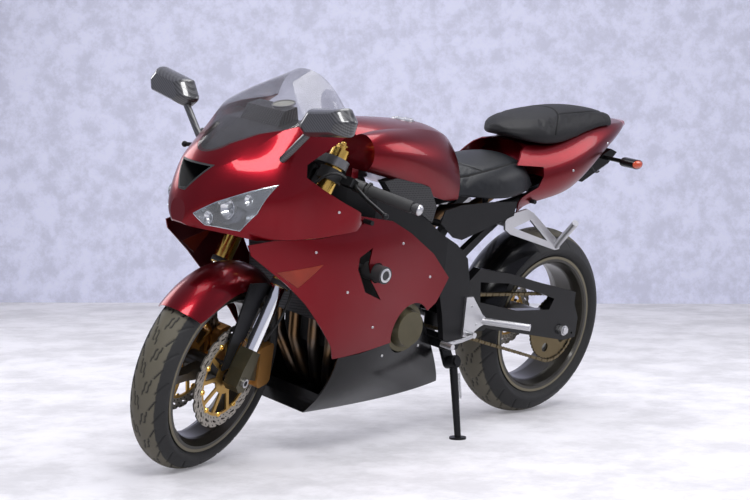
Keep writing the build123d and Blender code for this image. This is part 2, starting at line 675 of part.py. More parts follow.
# Swingarm: two arms in side view, joined ahead of the tyre between the chain's two runs
CROSS_FRONT = 425
CROSS_REAR = 350
with BuildPart() as swingarm:
    with BuildSketch(side(ARM_OUTSIDE)):
        with BuildLine():
            Polyline(
                (590, 455), (545, 470), (449, 548), (299, 523), (132, 481), (-50, 440), (-52, 400), (-80, 350),
                (-80, 285), (-20, 278), (227, 324), (346, 345), (500, 380), (580, 396), close=True,
            )
        make_face()
        with BuildLine():
            Polyline((440, 505), (430, 440), (250, 400), (80, 390), (60, 425), (140, 450), (300, 492), close=True)
        make_face(mode=Mode.SUBTRACT)
    extrude(amount=ARM_OUTSIDE - ARM_INSIDE)
    with BuildSketch(side(-ARM_INSIDE)):
        with BuildLine():
            Polyline(
                (590, 455), (545, 465), (440, 450), (280, 408), (100, 372), (-80, 350),
                (-80, 285), (-20, 278), (227, 312), (346, 330), (500, 370), (580, 396), close=True,
            )
        make_face()
    extrude(amount=ARM_OUTSIDE - ARM_INSIDE)
    with BuildSketch(side(ARM_INSIDE)):
        with Locations(((CROSS_FRONT + CROSS_REAR) / 2, 376)):
            RectangleRounded(CROSS_FRONT - CROSS_REAR, 80, 14)
    extrude(amount=2 * ARM_INSIDE)
    with BuildSketch(side(ARM_INSIDE)):
        with Locations((PIVOT_X, PIVOT_Z)):
            Circle(PIVOT_RADIUS)
    extrude(amount=2 * ARM_INSIDE)
    for bore_x, bore_z, bore in ((0, REAR_RADIUS, AXLE_RADIUS + 0.1), (PIVOT_X, PIVOT_Z, 9)):
        with BuildSketch(side(ARM_OUTSIDE)):
            with Locations((bore_x, bore_z)):
                Circle(bore)
        extrude(amount=2 * ARM_OUTSIDE, mode=Mode.SUBTRACT)
    for spool_y, spool_depth in ((ARM_OUTSIDE, 22), (-ARM_OUTSIDE, -22)):
        with BuildSketch(side(spool_y)):
            with Locations((-58, 300)):
                Circle(4)
        extrude(amount=spool_depth, mode=Mode.SUBTRACT)

# Chain: one closed loop round both sprockets
with BuildPart() as chain:
    with BuildSketch(side(CHAIN_Y + CHAIN_WIDTH / 2)):
        with BuildSketch(mode=Mode.PRIVATE) as chain_outside:
            with Locations((0, REAR_RADIUS)):
                Circle(REAR_SPROCKET_RADIUS + CHAIN_HEIGHT)
            with Locations((FRONT_SPROCKET_X, FRONT_SPROCKET_Z)):
                Circle(FRONT_SPROCKET_RADIUS + CHAIN_HEIGHT)
            make_hull()
        with BuildSketch(mode=Mode.PRIVATE) as chain_inside:
            with Locations((0, REAR_RADIUS)):
                Circle(REAR_SPROCKET_RADIUS)
            with Locations((FRONT_SPROCKET_X, FRONT_SPROCKET_Z)):
                Circle(FRONT_SPROCKET_RADIUS)
            make_hull()
        add(chain_outside.sketch)
        add(chain_inside.sketch, mode=Mode.SUBTRACT)
    extrude(amount=CHAIN_WIDTH)

# Subframe: two rails with a brace each and cross bars
RAIL_Y = 88
RAIL_WIDTH = 20
with BuildPart() as subframe:
    for rail_y in (RAIL_Y + RAIL_WIDTH, -RAIL_Y):
        with BuildSketch(side(rail_y)):
            draw_outline([
                (590, 690), (520, 720), (300, 752), (100, 794), (0, 818), (0, 796), (60, 782), (240, 744),
                (400, 640), (520, 550), (556, 548), (556, 570), (534, 576), (330, 716), (500, 690), (580, 660),
                (606, 622), (626, 628), (624, 650),
            ])
        extrude(amount=RAIL_WIDTH)
    for foot_x, foot_z in ((545, 560), (614, 634)):
        for foot_y in (SPAR_INSIDE - SEAT_GAP, -RAIL_Y):
            with BuildSketch(side(foot_y)):
                with Locations((foot_x, foot_z)):
                    Circle(9)
            extrude(amount=SPAR_INSIDE - SEAT_GAP - RAIL_Y)
    with BuildSketch(side(RAIL_Y)):
        with Locations((560, 676)):
            Circle(11)
    extrude(amount=2 * RAIL_Y)
    with BuildSketch(side(150)):
        with Locations((232, 752)):
            Circle(7)
    extrude(amount=300)
    with BuildSketch(side(RAIL_Y)):
        with Locations((232, 752)):
            Circle(9)
    extrude(amount=2 * RAIL_Y, mode=Mode.SUBTRACT)

with BuildPart() as rear_shock:
    with BuildSketch(Plane(origin=(478, 0, 330), x_dir=(0, 1, 0), z_dir=(10, 0, 230))):
        Circle(24)
    extrude(amount=245)
    with BuildSketch(Plane(origin=(480, 0, 380), x_dir=(0, 1, 0), z_dir=(10, 0, 230))):
        Circle(34)
    extrude(amount=150)
    with BuildSketch(side(12)):
        draw_outline([(478, 562), (533.7, 588), (533.7, 612), (478, 606)])
        draw_outline([(470, 306), (531.7, 308), (531.7, 336), (470, 340)])
    extrude(amount=24)


def draw_arch(crown, shoulder, widest, foot):
    """Closed section with a round top and flanks, alike on both sides; each point is (left, up)."""
    with BuildLine() as outline:
        ThreePointArc((-shoulder[0], shoulder[1]), (0, crown), shoulder)
        ThreePointArc(shoulder, widest, foot)
        Line(foot, (-foot[0], foot[1]))
        ThreePointArc((-foot[0], foot[1]), (-widest[0], widest[1]), (-shoulder[0], shoulder[1]))
    make_face(outline.edges())


def build_arches(table, inset=0.0, first_shift=0.0, last_shift=0.0, floor=0.0):
    """Loft through a table of sections, drawn in by an inset, its ends moved and its foot raised by a floor."""
    with BuildPart() as body:
        shifts = [first_shift] + [0] * (len(table) - 2) + [last_shift]
        for shift_x, (x, crown, shoulder, widest, foot) in zip(shifts, table):
            with BuildSketch(station(x + shift_x)):
                draw_arch(
                    crown - inset,
                    (shoulder[0] - inset * 0.8, shoulder[1] - inset * 0.8),
                    (widest[0] - inset, widest[1]),
                    (foot[0] - inset, foot[1] - inset + floor),
                )
        loft()
    return body


# Upper cowl and screen, cut from one nose body; columns: x, crown z, shoulder, widest and foot as (y, z)
NOSE_STATIONS = [
    (1540, 772, (22, 765), (30, 742), (20, 712)),
    (1500, 870, (55, 852), (88, 775), (66, 700)),
    (1429, 942, (105, 900), (158, 800), (140, 690)),
    (1360, 992, (128, 950), (200, 835), (190, 680)),
    (1289, 1040, (160, 1000), (210, 860), (215, 680)),
    (1200, 1094, (168, 1030), (218, 900), (228, 690)),
    (1080, 1150, (175, 1060), (222, 900), (236, 700)),
]
SCREEN_EDGE = [(1105, 1036), (1289, 991), (1370, 959), (1429, 929), (1480, 896)]
COWL_OUTLINE = SCREEN_EDGE + [
    (1530, 930), (1560, 800), (1560, 680), (1463, 675), (1361, 691), (1221, 697), (1107, 716), (1081, 754),
    (1167, 795), (1284, 861), (1281, 894), (1234, 921), (1130, 980),
]
SCREEN_OUTLINE = [(x, z + SEAT_GAP) for x, z in SCREEN_EDGE] + [
    (1530, 930), (1400, 1100), (1200, 1200), (1132, 1127),
]
HEADLIGHT_OUTLINE = [(196, 842), (150, 815), (95, 780), (52, 742), (70, 712), (140, 706), (175, 760)]
INTAKE_OUTLINE = [(66, 872), (-66, 872), (-14, 796), (14, 796)]

with BuildPart() as upper_cowl:
    add(build_arches(NOSE_STATIONS).part)
    add(build_arches(NOSE_STATIONS, PANEL_WALL, -PANEL_WALL, -PANEL_WALL).part, mode=Mode.SUBTRACT)
    with BuildSketch(side(260)):
        draw_outline(COWL_OUTLINE)
    extrude(amount=520, mode=Mode.INTERSECT)
    with BuildSketch(station(1330)):
        draw_outline(HEADLIGHT_OUTLINE)
        mirror(about=Plane.YZ)
        draw_outline(INTAKE_OUTLINE)
    extrude(amount=240, mode=Mode.SUBTRACT)

with BuildPart() as windscreen:
    add(build_arches(NOSE_STATIONS).part)
    add(build_arches(NOSE_STATIONS, SCREEN_WALL, -PANEL_WALL, -PANEL_WALL).part, mode=Mode.SUBTRACT)
    with BuildSketch(side(260)):
        draw_outline(SCREEN_OUTLINE)
    extrude(amount=520, mode=Mode.INTERSECT)

with BuildPart() as headlights:
    add(build_arches(NOSE_STATIONS).part)
    with BuildSketch(station(1330)):
        draw_outline(HEADLIGHT_OUTLINE)
        offset(amount=-0.5)
        mirror(about=Plane.YZ)
    extrude(amount=240, mode=Mode.INTERSECT)
    with BuildSketch(side(0)):
        draw_outline([(1560, 600), (1470, 600), (1330, 760), (1300, 900), (1560, 900)])
    extrude(amount=300, both=True, mode=Mode.INTERSECT)

with BuildPart() as air_intake:
    add(build_arches(NOSE_STATIONS).part)
    with BuildSketch(station(1330)):
        draw_outline(INTAKE_OUTLINE)
        offset(amount=-0.5)
    extrude(amount=240, mode=Mode.INTERSECT)
    with BuildSketch(station(1340)):
        draw_outline(INTAKE_OUTLINE)
        offset(amount=-5)
    extrude(amount=240, mode=Mode.SUBTRACT)

# Stay from the head tube to the nose, with its cross bar, and the deck with the instruments under the screen
with BuildPart() as cowl_stay:
    add(build_arches(NOSE_STATIONS, PANEL_WALL + SEAT_GAP, -PANEL_WALL, -PANEL_WALL).part)
    with BuildSketch(side(260)):
        draw_outline([(1150, 790), (1150, 822), (1300, 800), (1330, 786), (1330, 766), (1300, 772)])
    extrude(amount=520, mode=Mode.INTERSECT)
    with BuildSketch(Plane.XY.offset(600)):
        draw_outline([
            (1140, -14), (1306, -14), (1306, -300), (1322, -300), (1322, 300), (1306, 300), (1306, 14), (1140, 14),
        ])
    extrude(amount=400, mode=Mode.INTERSECT)
    with BuildSketch(steering_level(HEAD_BOTTOM - 60)):
        Circle(HEAD_TUBE_RADIUS + SEAT_GAP)
    extrude(amount=400, mode=Mode.SUBTRACT)

with BuildPart() as dash:
    add(build_arches(NOSE_STATIONS, PANEL_WALL + SEAT_GAP, -PANEL_WALL, -PANEL_WALL).part)
    with BuildSketch(side(260)):
        draw_outline([
            (1474, 880), (1428, 916), (1370, 944), (1289, 976), (1210, 994), (1206, 984), (1286, 966), (1366, 934),
            (1424, 906), (1466, 872),
        ])
    extrude(amount=520, mode=Mode.INTERSECT)
    with BuildSketch(side(78)):
        draw_outline([(1214, 990), (1224, 1030), (1268, 1018), (1290, 972)])
    extrude(amount=156)

# Side fairings, cut from one wider body
FLANK_STATIONS = [
    (640, 760, (195, 740), (216, 560), (190, 300)),
    (800, 830, (200, 800), (224, 600), (196, 320)),
    (950, 860, (198, 830), (238, 640), (200, 320)),
    (1120, 860, (196, 830), (244, 660), (198, 320)),
    (1300, 820, (190, 790), (220, 640), (185, 420)),
    (1475, 740, (150, 720), (172, 660), (150, 600)),
]
FAIRING_OUTLINE = [
    (672, 551), (754, 628), (865, 695), (947, 733), (1081, 753), (1107, 715), (1221, 696), (1361, 690),
    (1436, 676), (1424, 648), (1378, 615), (1316, 570), (1252, 514), (1191, 449), (1131, 384), (1107, 342),
    (1006, 350), (865, 372), (852, 376), (853, 420), (815, 463), (743, 457), (713, 478),
]
VENT_OUTLINE = [(1033, 665), (1085, 640), (1089, 607), (1050, 540), (976, 511), (1030, 570), (1045, 620)]
SIGNAL_OUTLINE = [(1352, 604), (1212, 627), (1284, 561)]
BUNG = (1008, 592)
with BuildPart() as side_fairings:
    add(build_arches(FLANK_STATIONS).part)
    add(build_arches(FLANK_STATIONS, PANEL_WALL, -PANEL_WALL, PANEL_WALL).part, mode=Mode.SUBTRACT)
    with BuildSketch(side(260)):
        draw_outline(FAIRING_OUTLINE)
        with BuildLine():
            Polyline(*VENT_OUTLINE, close=True)
        make_face(mode=Mode.SUBTRACT)
        with BuildLine():
            Polyline(*SIGNAL_OUTLINE, close=True)
        make_face(mode=Mode.SUBTRACT)
        with Locations((809, 405)):
            Circle(80, mode=Mode.SUBTRACT)
        with Locations(BUNG):
            Circle(29, mode=Mode.SUBTRACT)
    extrude(amount=520, mode=Mode.INTERSECT)
    with BuildSketch(side(SPAR_OUTSIDE + 90)):
        with Locations((1064, 739)):
            Circle(7 + SEAT_GAP)
    extrude(amount=2 * (SPAR_OUTSIDE + 90), mode=Mode.SUBTRACT)

with BuildPart() as front_signals:
    add(build_arches(FLANK_STATIONS).part)
    add(build_arches(FLANK_STATIONS, PANEL_WALL, -PANEL_WALL, PANEL_WALL).part, mode=Mode.SUBTRACT)
    with BuildSketch(side(260)):
        draw_outline(SIGNAL_OUTLINE)
        offset(amount=-0.5)
    extrude(amount=520, mode=Mode.INTERSECT)

with BuildPart() as crash_bungs:
    for bung_y, bung_length in ((138 + SEAT_GAP, 140), (-138 - SEAT_GAP, -140)):
        with BuildSketch(side(bung_y)):
            with Locations((970, 576), BUNG):
                Circle(12)
            make_hull()
        extrude(amount=-bung_length * 0.08)
        with BuildSketch(side(bung_y)):
            with Locations(BUNG):
                Circle(11)
        extrude(amount=-bung_length / 2)
        with BuildSketch(side(bung_y + bung_length * 0.48)):
            with Locations(BUNG):
                Circle(25)
        extrude(amount=-bung_length * 0.52)

# Belly pan, an open trough
PAN_STATIONS = [
    (480, 330, (80, 320), (84, 240), (60, 172)),
    (700, 440, (152, 430), (150, 300), (95, 162)),
    (900, 440, (202, 430), (194, 300), (104, 156)),
    (1100, 440, (206, 430), (198, 300), (108, 156)),
]
PAN_OUTLINE = [
    (1086, 343.2), (1006, 349.5), (852, 372.6), (804, 332), (758, 344), (713, 392), (698, 418), (650, 360),
    (610, 315), (493, 171), (480, 140), (1110, 140), (1098, 200),
]
with BuildPart() as belly_pan:
    add(build_arches(PAN_STATIONS).part)
    add(build_arches(PAN_STATIONS, PANEL_WALL, -PANEL_WALL, -PANEL_WALL, 2 * PANEL_WALL).part, mode=Mode.SUBTRACT)
    with BuildSketch(side(260)):
        draw_outline(PAN_OUTLINE)
    extrude(amount=520, mode=Mode.INTERSECT)
    with BuildSketch(station(1070)):
        with Locations((0, 320)):
            Rectangle(320, 190)
    extrude(amount=60, mode=Mode.SUBTRACT)
    for cover_y, cover_x, cover_z, cover_radius in ((260, 809, 405, 79), (0, 800, 410, 85), (0, 890, 380, 51)):
        with BuildSketch(side(cover_y)):
            with Locations((cover_x, cover_z)):
                Circle(cover_radius)
        extrude(amount=260, mode=Mode.SUBTRACT)

# Fuel tank
TANK_STATIONS = [
    (580, 950, (60, 940), (122, 858), (132, 768)),
    (680, 984, (90, 968), (152, 880), (140, 775)),
    (800, 991, (100, 976), (172, 900), (148, 812)),
    (930, 990, (104, 972), (182, 898), (150, 846)),
    (1002, 972, (94, 956), (174, 900), (146, 862)),
]
with BuildPart() as fuel_tank:
    add(build_arches(TANK_STATIONS).part)
    for y in (90, -66):
        with BuildSketch(side(y)):
            draw_outline([(972, 825.4), (998, 834.3), (998, 890), (972, 890)])
        extrude(amount=24)
    with BuildSketch(Plane.XY.offset(978)):
        with Locations((723, 0)):
            Circle(36)
    extrude(amount=40, mode=Mode.SUBTRACT)

with BuildPart() as fuel_cap:
    with BuildSketch(Plane.XY.offset(978 + SEAT_GAP)):
        with Locations((723, 0)):
            Circle(35)
    extrude(amount=13, taper=8)

# Seats
SEAT_STATIONS = [
    (208, 858, (60, 854), (110, 814), (116, 800)),
    (300, 886, (86, 874), (146, 800), (144, 772)),
    (440, 866, (80, 858), (150, 790), (148, 764)),
    (570, 872, (50, 860), (100, 800), (110, 770)),
]
with BuildPart() as rider_seat:
    add(build_arches(SEAT_STATIONS).part)
    for y in (106, -92):
        with BuildSketch(side(y)):
            draw_outline([(400, 737.9), (430, 733.5), (430, 790), (400, 790)])
        extrude(amount=14)

TAIL_STATIONS = [
    (-340, 996, (20, 994), (32, 985), (24, 972)),
    (-200, 998, (70, 990), (92, 960), (40, 900)),
    (-50, 982, (80, 976), (125, 930), (100, 815)),
    (120, 946, (88, 938), (142, 880), (124, 762)),
    (326, 940, (80, 930), (130, 850), (158, 720)),
]
TAIL_OUTLINE = [
    (-316, 1010), (-316, 940), (-279, 918), (-257, 914), (-101, 823), (-5, 799), (25, 780), (246, 736), (324, 722),
    (316, 752), (297, 766), (222, 797), (203, 830), (203, 862), (312, 866), (274, 906), (226, 929), (149, 944),
    (120, 1010),
]
# Wall of the tail behind the rider's seat
with BuildPart() as tail_wall:
    add(build_arches(TAIL_STATIONS).part)
    with BuildSketch(side(260)):
        draw_outline([(203, 832), (203, 864), (172, 920), (149, 944), (142, 944), (166, 918), (197, 862), (197, 832)])
    extrude(amount=520, mode=Mode.INTERSECT)

with BuildPart() as tail_cowl:
    add(build_arches(TAIL_STATIONS).part)
    add(build_arches(TAIL_STATIONS, PANEL_WALL, PANEL_WALL, PANEL_WALL).part, mode=Mode.SUBTRACT)
    with BuildSketch(side(260)):
        draw_outline(TAIL_OUTLINE)
    extrude(amount=520, mode=Mode.INTERSECT)
    add(tail_wall.part)
    with BuildSketch(side(260)):
        with Locations((232, 752)):
            Circle(7 + SEAT_GAP)
    extrude(amount=520, mode=Mode.SUBTRACT)

with BuildPart() as tail_lamp:
    add(build_arches(TAIL_STATIONS).part)
    with BuildSketch(side(260)):
        draw_outline([(-346, 1010), (-346, 900), (-316.5, 900), (-316.5, 1010)])
    extrude(amount=520, mode=Mode.INTERSECT)

PILLION_STATIONS = [
    (-195, 1026, (60, 1020), (84, 1010), (84, 980)),
    (-55, 1037, (76, 1028), (104, 1005), (100, 965)),
    (110, 1022, (92, 1010), (124, 975), (114, 930)),
    (215, 1000, (82, 990), (112, 962), (100, 930)),
    (292, 974, (22, 970), (34, 964), (30, 952)),
]
with BuildPart() as pillion_seat:
    add(build_arches(PILLION_STATIONS).part)
    add(build_arches(TAIL_STATIONS, -SEAT_GAP, -1, 1).part, mode=Mode.SUBTRACT)

# Undertray under the subframe's rails and the tail
UNDERTRAY_LINE = [(140, 764.7), (60, 781.6), (0, 795.6), (-100, 820), (-200, 876), (-262, 905)]
UNDERTRAY_WALL = 4
with BuildPart() as undertray:
    with BuildSketch(side(98)):
        draw_outline(UNDERTRAY_LINE + [(x, z - UNDERTRAY_WALL) for x, z in reversed(UNDERTRAY_LINE)])
    extrude(amount=196)
    with BuildSketch(Plane.XY.offset(600)):
        draw_outline([(260, -98), (0, -98), (-30, -72), (-270, -30), (-270, 30), (-30, 72), (0, 98), (260, 98)])
    extrude(amount=500, mode=Mode.INTERSECT)

# Panels at the rider's knees and the covers under the seat
with BuildPart() as knee_panels:
    for y in (160, -130):
        with BuildSketch(side(y)):
            draw_outline([(933, 833), (884, 842), (810, 834), (739, 812), (700, 753), (712, 706), (754, 728), (857, 757)])
        extrude(amount=30)
    with BuildSketch(side(165)):
        draw_outline(SPAR_OUTLINE)
        offset(amount=SEAT_GAP)
    extrude(amount=330, mode=Mode.SUBTRACT)
    add(build_arches(TANK_STATIONS, -SEAT_GAP, -1, 1, -2 * SEAT_GAP).part, mode=Mode.SUBTRACT)

COVER_OUTLINE = [(664, 700), (650, 738), (577, 752), (440, 758), (325, 756), (330, 712), (480, 668), (560, 645), (600, 654)]
with BuildPart() as side_covers:
    for y, foot_y in ((152, 152 - 4), (-148, -(RAIL_Y + RAIL_WIDTH) - SEAT_GAP)):
        with BuildSketch(side(y)):
            draw_outline(COVER_OUTLINE)
        extrude(amount=4)
        with BuildSketch(side(foot_y)):
            with Locations((450, 712), (350, 734)):
                Circle(7)
        extrude(amount=148 - RAIL_Y - RAIL_WIDTH - SEAT_GAP)

# Footrests: brackets on the frame with pegs and levers, and the passenger's on the subframe
SHIFT_POINTS = [(508, 200, 352), (600, 236, 356), (707, 262, 359)]
with BuildPart() as left_rearset:
    with BuildSketch(side(SPAR_OUTSIDE + SEAT_GAP + 8)):
        draw_outline([(530, 470), (500, 470), (446, 410), (424, 396), (424, 380), (450, 372), (500, 345), (526, 346)])
    extrude(amount=8)
    peg_foot = Vector(437, 172, 388)
    peg_aim = Vector(374, 310, 396) - peg_foot
    with BuildSketch(Plane(origin=peg_foot, z_dir=peg_aim)):
        Circle(11)
    extrude(amount=peg_aim.length)
    with BuildSketch(side(208)):
        with Locations((508, 356)):
            Circle(9)
    extrude(amount=208 - SPAR_OUTSIDE - SEAT_GAP)
    with BuildLine() as shift_path:
        FilletPolyline(*SHIFT_POINTS, radius=30)
    with BuildSketch(Plane(origin=SHIFT_POINTS[0], z_dir=Vector(*SHIFT_POINTS[1]) - Vector(*SHIFT_POINTS[0]))):
        Circle(6)
    sweep(path=shift_path.wires()[0])
    with BuildSketch(side(292)):
        with Locations((700, 359)):
            Circle(9)
    extrude(amount=44)

with BuildPart() as rearsets:
    add(left_rearset.part)
    mirror(about=Plane.XZ)

with BuildPart() as left_passenger_peg:
    with BuildSketch(side(147)):
        draw_outline([
            (262, 730), (338, 716), (362, 694), (356, 666), (330, 652), (95, 590), (72, 592), (70, 610), (228, 716),
        ])
        with BuildLine():
            Polyline((240, 694), (318, 672), (140, 622), close=True)
        make_face(mode=Mode.SUBTRACT)
    extrude(amount=8)
    with BuildSketch(side(143)):
        with Locations((326, 706), (352, 684)):
            Circle(8)
    extrude(amount=143 - RAIL_Y - RAIL_WIDTH - SEAT_GAP)
    passenger_aim = Vector(129, 240, 699) - Vector(88, 143, 602)
    with BuildSketch(Plane(origin=(88, 143, 602), z_dir=passenger_aim)):
        Circle(11)
    extrude(amount=passenger_aim.length)

with BuildPart() as passenger_pegs:
    add(left_passenger_peg.part)
    mirror(about=Plane.XZ)

# Rear hugger, carried by the swingarm's cross piece
HUGGER_RADIUS = REAR_RADIUS + 17
with BuildPart() as rear_hugger:
    with BuildSketch(wheel_section(REAR_AXLE)):
        with BuildLine():
            ThreePointArc((-89, 278), (0, HUGGER_RADIUS), (89, 278))
            Line((89, 278), (89 - PANEL_WALL, 278))
            ThreePointArc((89 - PANEL_WALL, 278), (0, HUGGER_RADIUS - PANEL_WALL), (PANEL_WALL - 89, 278))
            Line((PANEL_WALL - 89, 278), (-89, 278))
        make_face()
    revolve(axis=axle_line(REAR_AXLE))
    with BuildSketch(side(200)):
        draw_outline([(0, 315), (400, 350), (400, 560), (160, 700), (130, 640)])
    extrude(amount=400, mode=Mode.INTERSECT)
    with BuildSketch(side(40)):
        draw_outline([(324, 366), (349.7, 366), (349.7, 396), (318, 396)])
    extrude(amount=80)

with BuildPart() as rear_caliper:
    with BuildSketch(side(-66)):
        with Locations(Location((92, 352, 0), (0, 0, 22))):
            RectangleRounded(52, 92, 12)
    extrude(amount=ARM_INSIDE - 66 - SEAT_GAP)
    with BuildSketch(side(-REAR_DISC_Y + 3)):
        with Locations((0, REAR_RADIUS)):
            Circle(REAR_DISC_RADIUS + 4)
    extrude(amount=DISC_THICKNESS + 6, mode=Mode.SUBTRACT)

# Mirrors
MIRROR_OUTLINE = [(255, 1054), (385, 1075), (415, 1042), (405, 1002), (250, 977), (220, 1001)]
with BuildPart() as left_mirror:
    for mirror_x, share in ((1312, 0.9), (1330, 1), (1352, 0.92), (1374, 0.62)):
        with BuildSketch(station(mirror_x)):
            draw_outline([(322 + (y - 322) * share, 1025 + (z - 1025) * share) for y, z in MIRROR_OUTLINE])
            offset(amount=-12 * share)
            offset(amount=12 * share, kind=Kind.ARC)
    loft()
    stem_start = Vector(1346, 160, 890)
    stem_end = Vector(1338, 268, 1000)
    with BuildSketch(Plane(origin=stem_start, z_dir=stem_end - stem_start)):
        Circle(10)
    extrude(amount=(stem_end - stem_start).length)
    add(build_arches(NOSE_STATIONS, -SEAT_GAP, -1, 1).part, mode=Mode.SUBTRACT)

with BuildPart() as mirrors:
    add(left_mirror.part)
    mirror(about=Plane.XZ)

# Plate carrier with its two indicators, and the lamp
with BuildPart() as plate_carrier:
    with BuildSketch(side(50)):
        draw_outline([(-296, 890), (-262, 900.7), (-200, 871.7), (-100, 815.7), (-60, 800), (-126, 790), (-256, 852)])
    extrude(amount=100)
    for signal_y, length in ((50, -84), (-50, 84)):
        with BuildSketch(side(signal_y)):
            with Locations((-232, 872)):
                Circle(7)
        extrude(amount=length)
    for signal_y, length in ((134, -52), (-134, 52)):
        with BuildSketch(side(signal_y)):
            with Locations((-232, 872)):
                Ellipse(30, 16)
        extrude(amount=length)

# Side stand, swinging about a canted pin on the left of the frame
STAND_FOOT = Vector(550, 230, 46)
STAND_TOE_RADIUS = 26
foot_in_place = (stance * Location(STAND_FOOT)).position
with BuildPart() as stand_toe:
    with BuildSketch(Plane.XY):
        with Locations((foot_in_place.X, foot_in_place.Y)):
            Circle(STAND_TOE_RADIUS)
    extrude(amount=foot_in_place.Z)

with BuildPart() as side_stand:
    stand_leg = STAND_FOOT - STAND_PIVOT
    with BuildSketch(Plane(origin=STAND_PIVOT, z_dir=stand_leg)):
        Circle(13)
    with BuildSketch(Plane(origin=STAND_FOOT, z_dir=stand_leg)):
        Circle(10)
    loft()
    with BuildSketch(Plane(origin=STAND_PIVOT - STAND_PIN * STAND_EYE, z_dir=STAND_PIN)):
        Circle(20)
    extrude(amount=2 * STAND_EYE)
    add(stand_toe.part.moved(stance.inverse()))
    with BuildSketch(Plane(origin=STAND_PIVOT - STAND_PIN * 40, z_dir=STAND_PIN)):
        Circle(8 + SEAT_GAP)
    extrude(amount=80, mode=Mode.SUBTRACT)

CHASSIS = {
    "frame": frame, "subframe": subframe, "swingarm": swingarm, "rear_axle": rear_axle, "rear_shock": rear_shock,
    "chain": chain, "engine": engine, "generator_cover": generator_cover, "clutch_cover": clutch_cover,
    "radiator": radiator, "exhaust_headers": exhaust_headers, "exhaust_link": exhaust_link,
    "silencer": silencer, "upper_cowl": upper_cowl, "windscreen": windscreen, "headlights": headlights,
    "air_intake": air_intake, "side_fairings": side_fairings, "belly_pan": belly_pan, "fuel_tank": fuel_tank,
    "mirrors": mirrors, "plate_carrier": plate_carrier,
    "fuel_cap": fuel_cap, "rider_seat": rider_seat, "pillion_seat": pillion_seat, "tail_cowl": tail_cowl,
    "cowl_stay": cowl_stay, "dash": dash, "front_signals": front_signals, "crash_bungs": crash_bungs,
    "tail_lamp": tail_lamp, "undertray": undertray, "knee_panels": knee_panels, "side_covers": side_covers,
    "rearsets": rearsets, "passenger_pegs": passenger_pegs, "rear_hugger": rear_hugger,
    "rear_caliper": rear_caliper,
}
STEERING = {
    "steering_clamps": steering_clamps, "fork_tubes": fork_tubes, "fork_legs": fork_legs,
    "front_axle": front_axle, "front_fender": front_fender, "front_calipers": front_calipers,
    "clip_on_bars": clip_on_bars, "grips": grips, "levers": levers, "fork_guards": fork_guards,
}
FRONT_WHEEL = {"front_tyre": front_tyre, "front_rim": front_rim, "front_discs": front_discs}
REAR_WHEEL = {
    "rear_tyre": rear_tyre, "rear_rim": rear_rim, "rear_disc": rear_disc, "rear_sprocket": rear_sprocket,
}
SIDE_STAND = {"side_stand": side_stand}

os.makedirs("parts", exist_ok=True)
placed = {}
for group in (CHASSIS, REAR_WHEEL, SIDE_STAND):
    for label, piece in group.items():
        placed[label] = piece.part.moved(stance)
for group in (STEERING, FRONT_WHEEL):
    for label, piece in group.items():
        placed[label] = piece.part.moved(stance * steer_turn)
boxes = [piece.bounding_box() for piece in placed.values()]
low = Vector(min(box.min.X for box in boxes), min(box.min.Y for box in boxes), min(box.min.Z for box in boxes))
high = Vector(max(box.max.X for box in boxes), max(box.max.Y for box in boxes), max(box.max.Z for box in boxes))
shift = Location((-(low.X + high.X) / 2, -(low.Y + high.Y) / 2, -low.Z))
print("box", low, high, "shift", shift.position)
places = {
    "steering": (Location(STEER_FOOT), (-SIN_RAKE, 0, COS_RAKE)),
    "rear axle": (Location(REAR_AXLE), (0, 1, 0)),
    "stand pin": (Location(STAND_PIVOT), tuple(STAND_PIN)),
    "left spool": (Location((-58, ARM_OUTSIDE, 300)), (0, 1, 0)),
    "right spool": (Location((-58, -ARM_OUTSIDE, 300)), (0, -1, 0)),
}
turned = {
    "front axle": (Location(FRONT_AXLE), (0, 1, 0)),
    "axle bore": (Location((WHEELBASE, FORK_SPACING + 30, FRONT_RADIUS)), (0, 1, 0)),
}
for name, (spot, direction) in turned.items():
    start = (shift * stance * steer_turn * spot).position
    tip = (shift * stance * steer_turn * spot * Location(direction)).position
    print(name, start, tip - start)
for name, (spot, direction) in places.items():
    start = (shift * stance * spot).position
    tip = (shift * stance * spot * Location(direction)).position
    print(name, start, tip - start)
for label, piece in placed.items():
    part = piece.moved(shift)
    part.label = label
    export_step(part, f"parts/{label}.step")
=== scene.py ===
"""Looks of a faired sport motorcycle that leans on its side stand in a pale studio."""

import json
import logging
import math
from dataclasses import dataclass, field
from enum import Enum
from typing import Any, Callable, Sequence

import bmesh
import bpy
from mathutils import Matrix, Vector
from mathutils.bvhtree import BVHTree


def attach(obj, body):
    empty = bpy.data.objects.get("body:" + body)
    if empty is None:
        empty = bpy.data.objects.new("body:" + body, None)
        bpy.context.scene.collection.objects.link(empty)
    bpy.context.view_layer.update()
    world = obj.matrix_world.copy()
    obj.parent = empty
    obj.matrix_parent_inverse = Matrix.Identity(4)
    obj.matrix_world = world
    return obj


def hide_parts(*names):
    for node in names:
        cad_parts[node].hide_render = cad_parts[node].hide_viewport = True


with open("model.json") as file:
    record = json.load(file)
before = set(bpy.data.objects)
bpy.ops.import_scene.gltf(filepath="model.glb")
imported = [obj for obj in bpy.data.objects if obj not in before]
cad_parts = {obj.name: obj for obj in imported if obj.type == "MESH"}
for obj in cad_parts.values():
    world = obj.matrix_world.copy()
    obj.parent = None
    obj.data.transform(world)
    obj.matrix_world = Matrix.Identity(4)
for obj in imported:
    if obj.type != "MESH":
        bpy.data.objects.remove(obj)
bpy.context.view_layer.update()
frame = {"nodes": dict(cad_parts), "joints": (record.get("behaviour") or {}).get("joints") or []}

log = logging.getLogger("motorcycle")
Pair = tuple[float, float]
Triple = tuple[float, float, float]
Colour = Triple


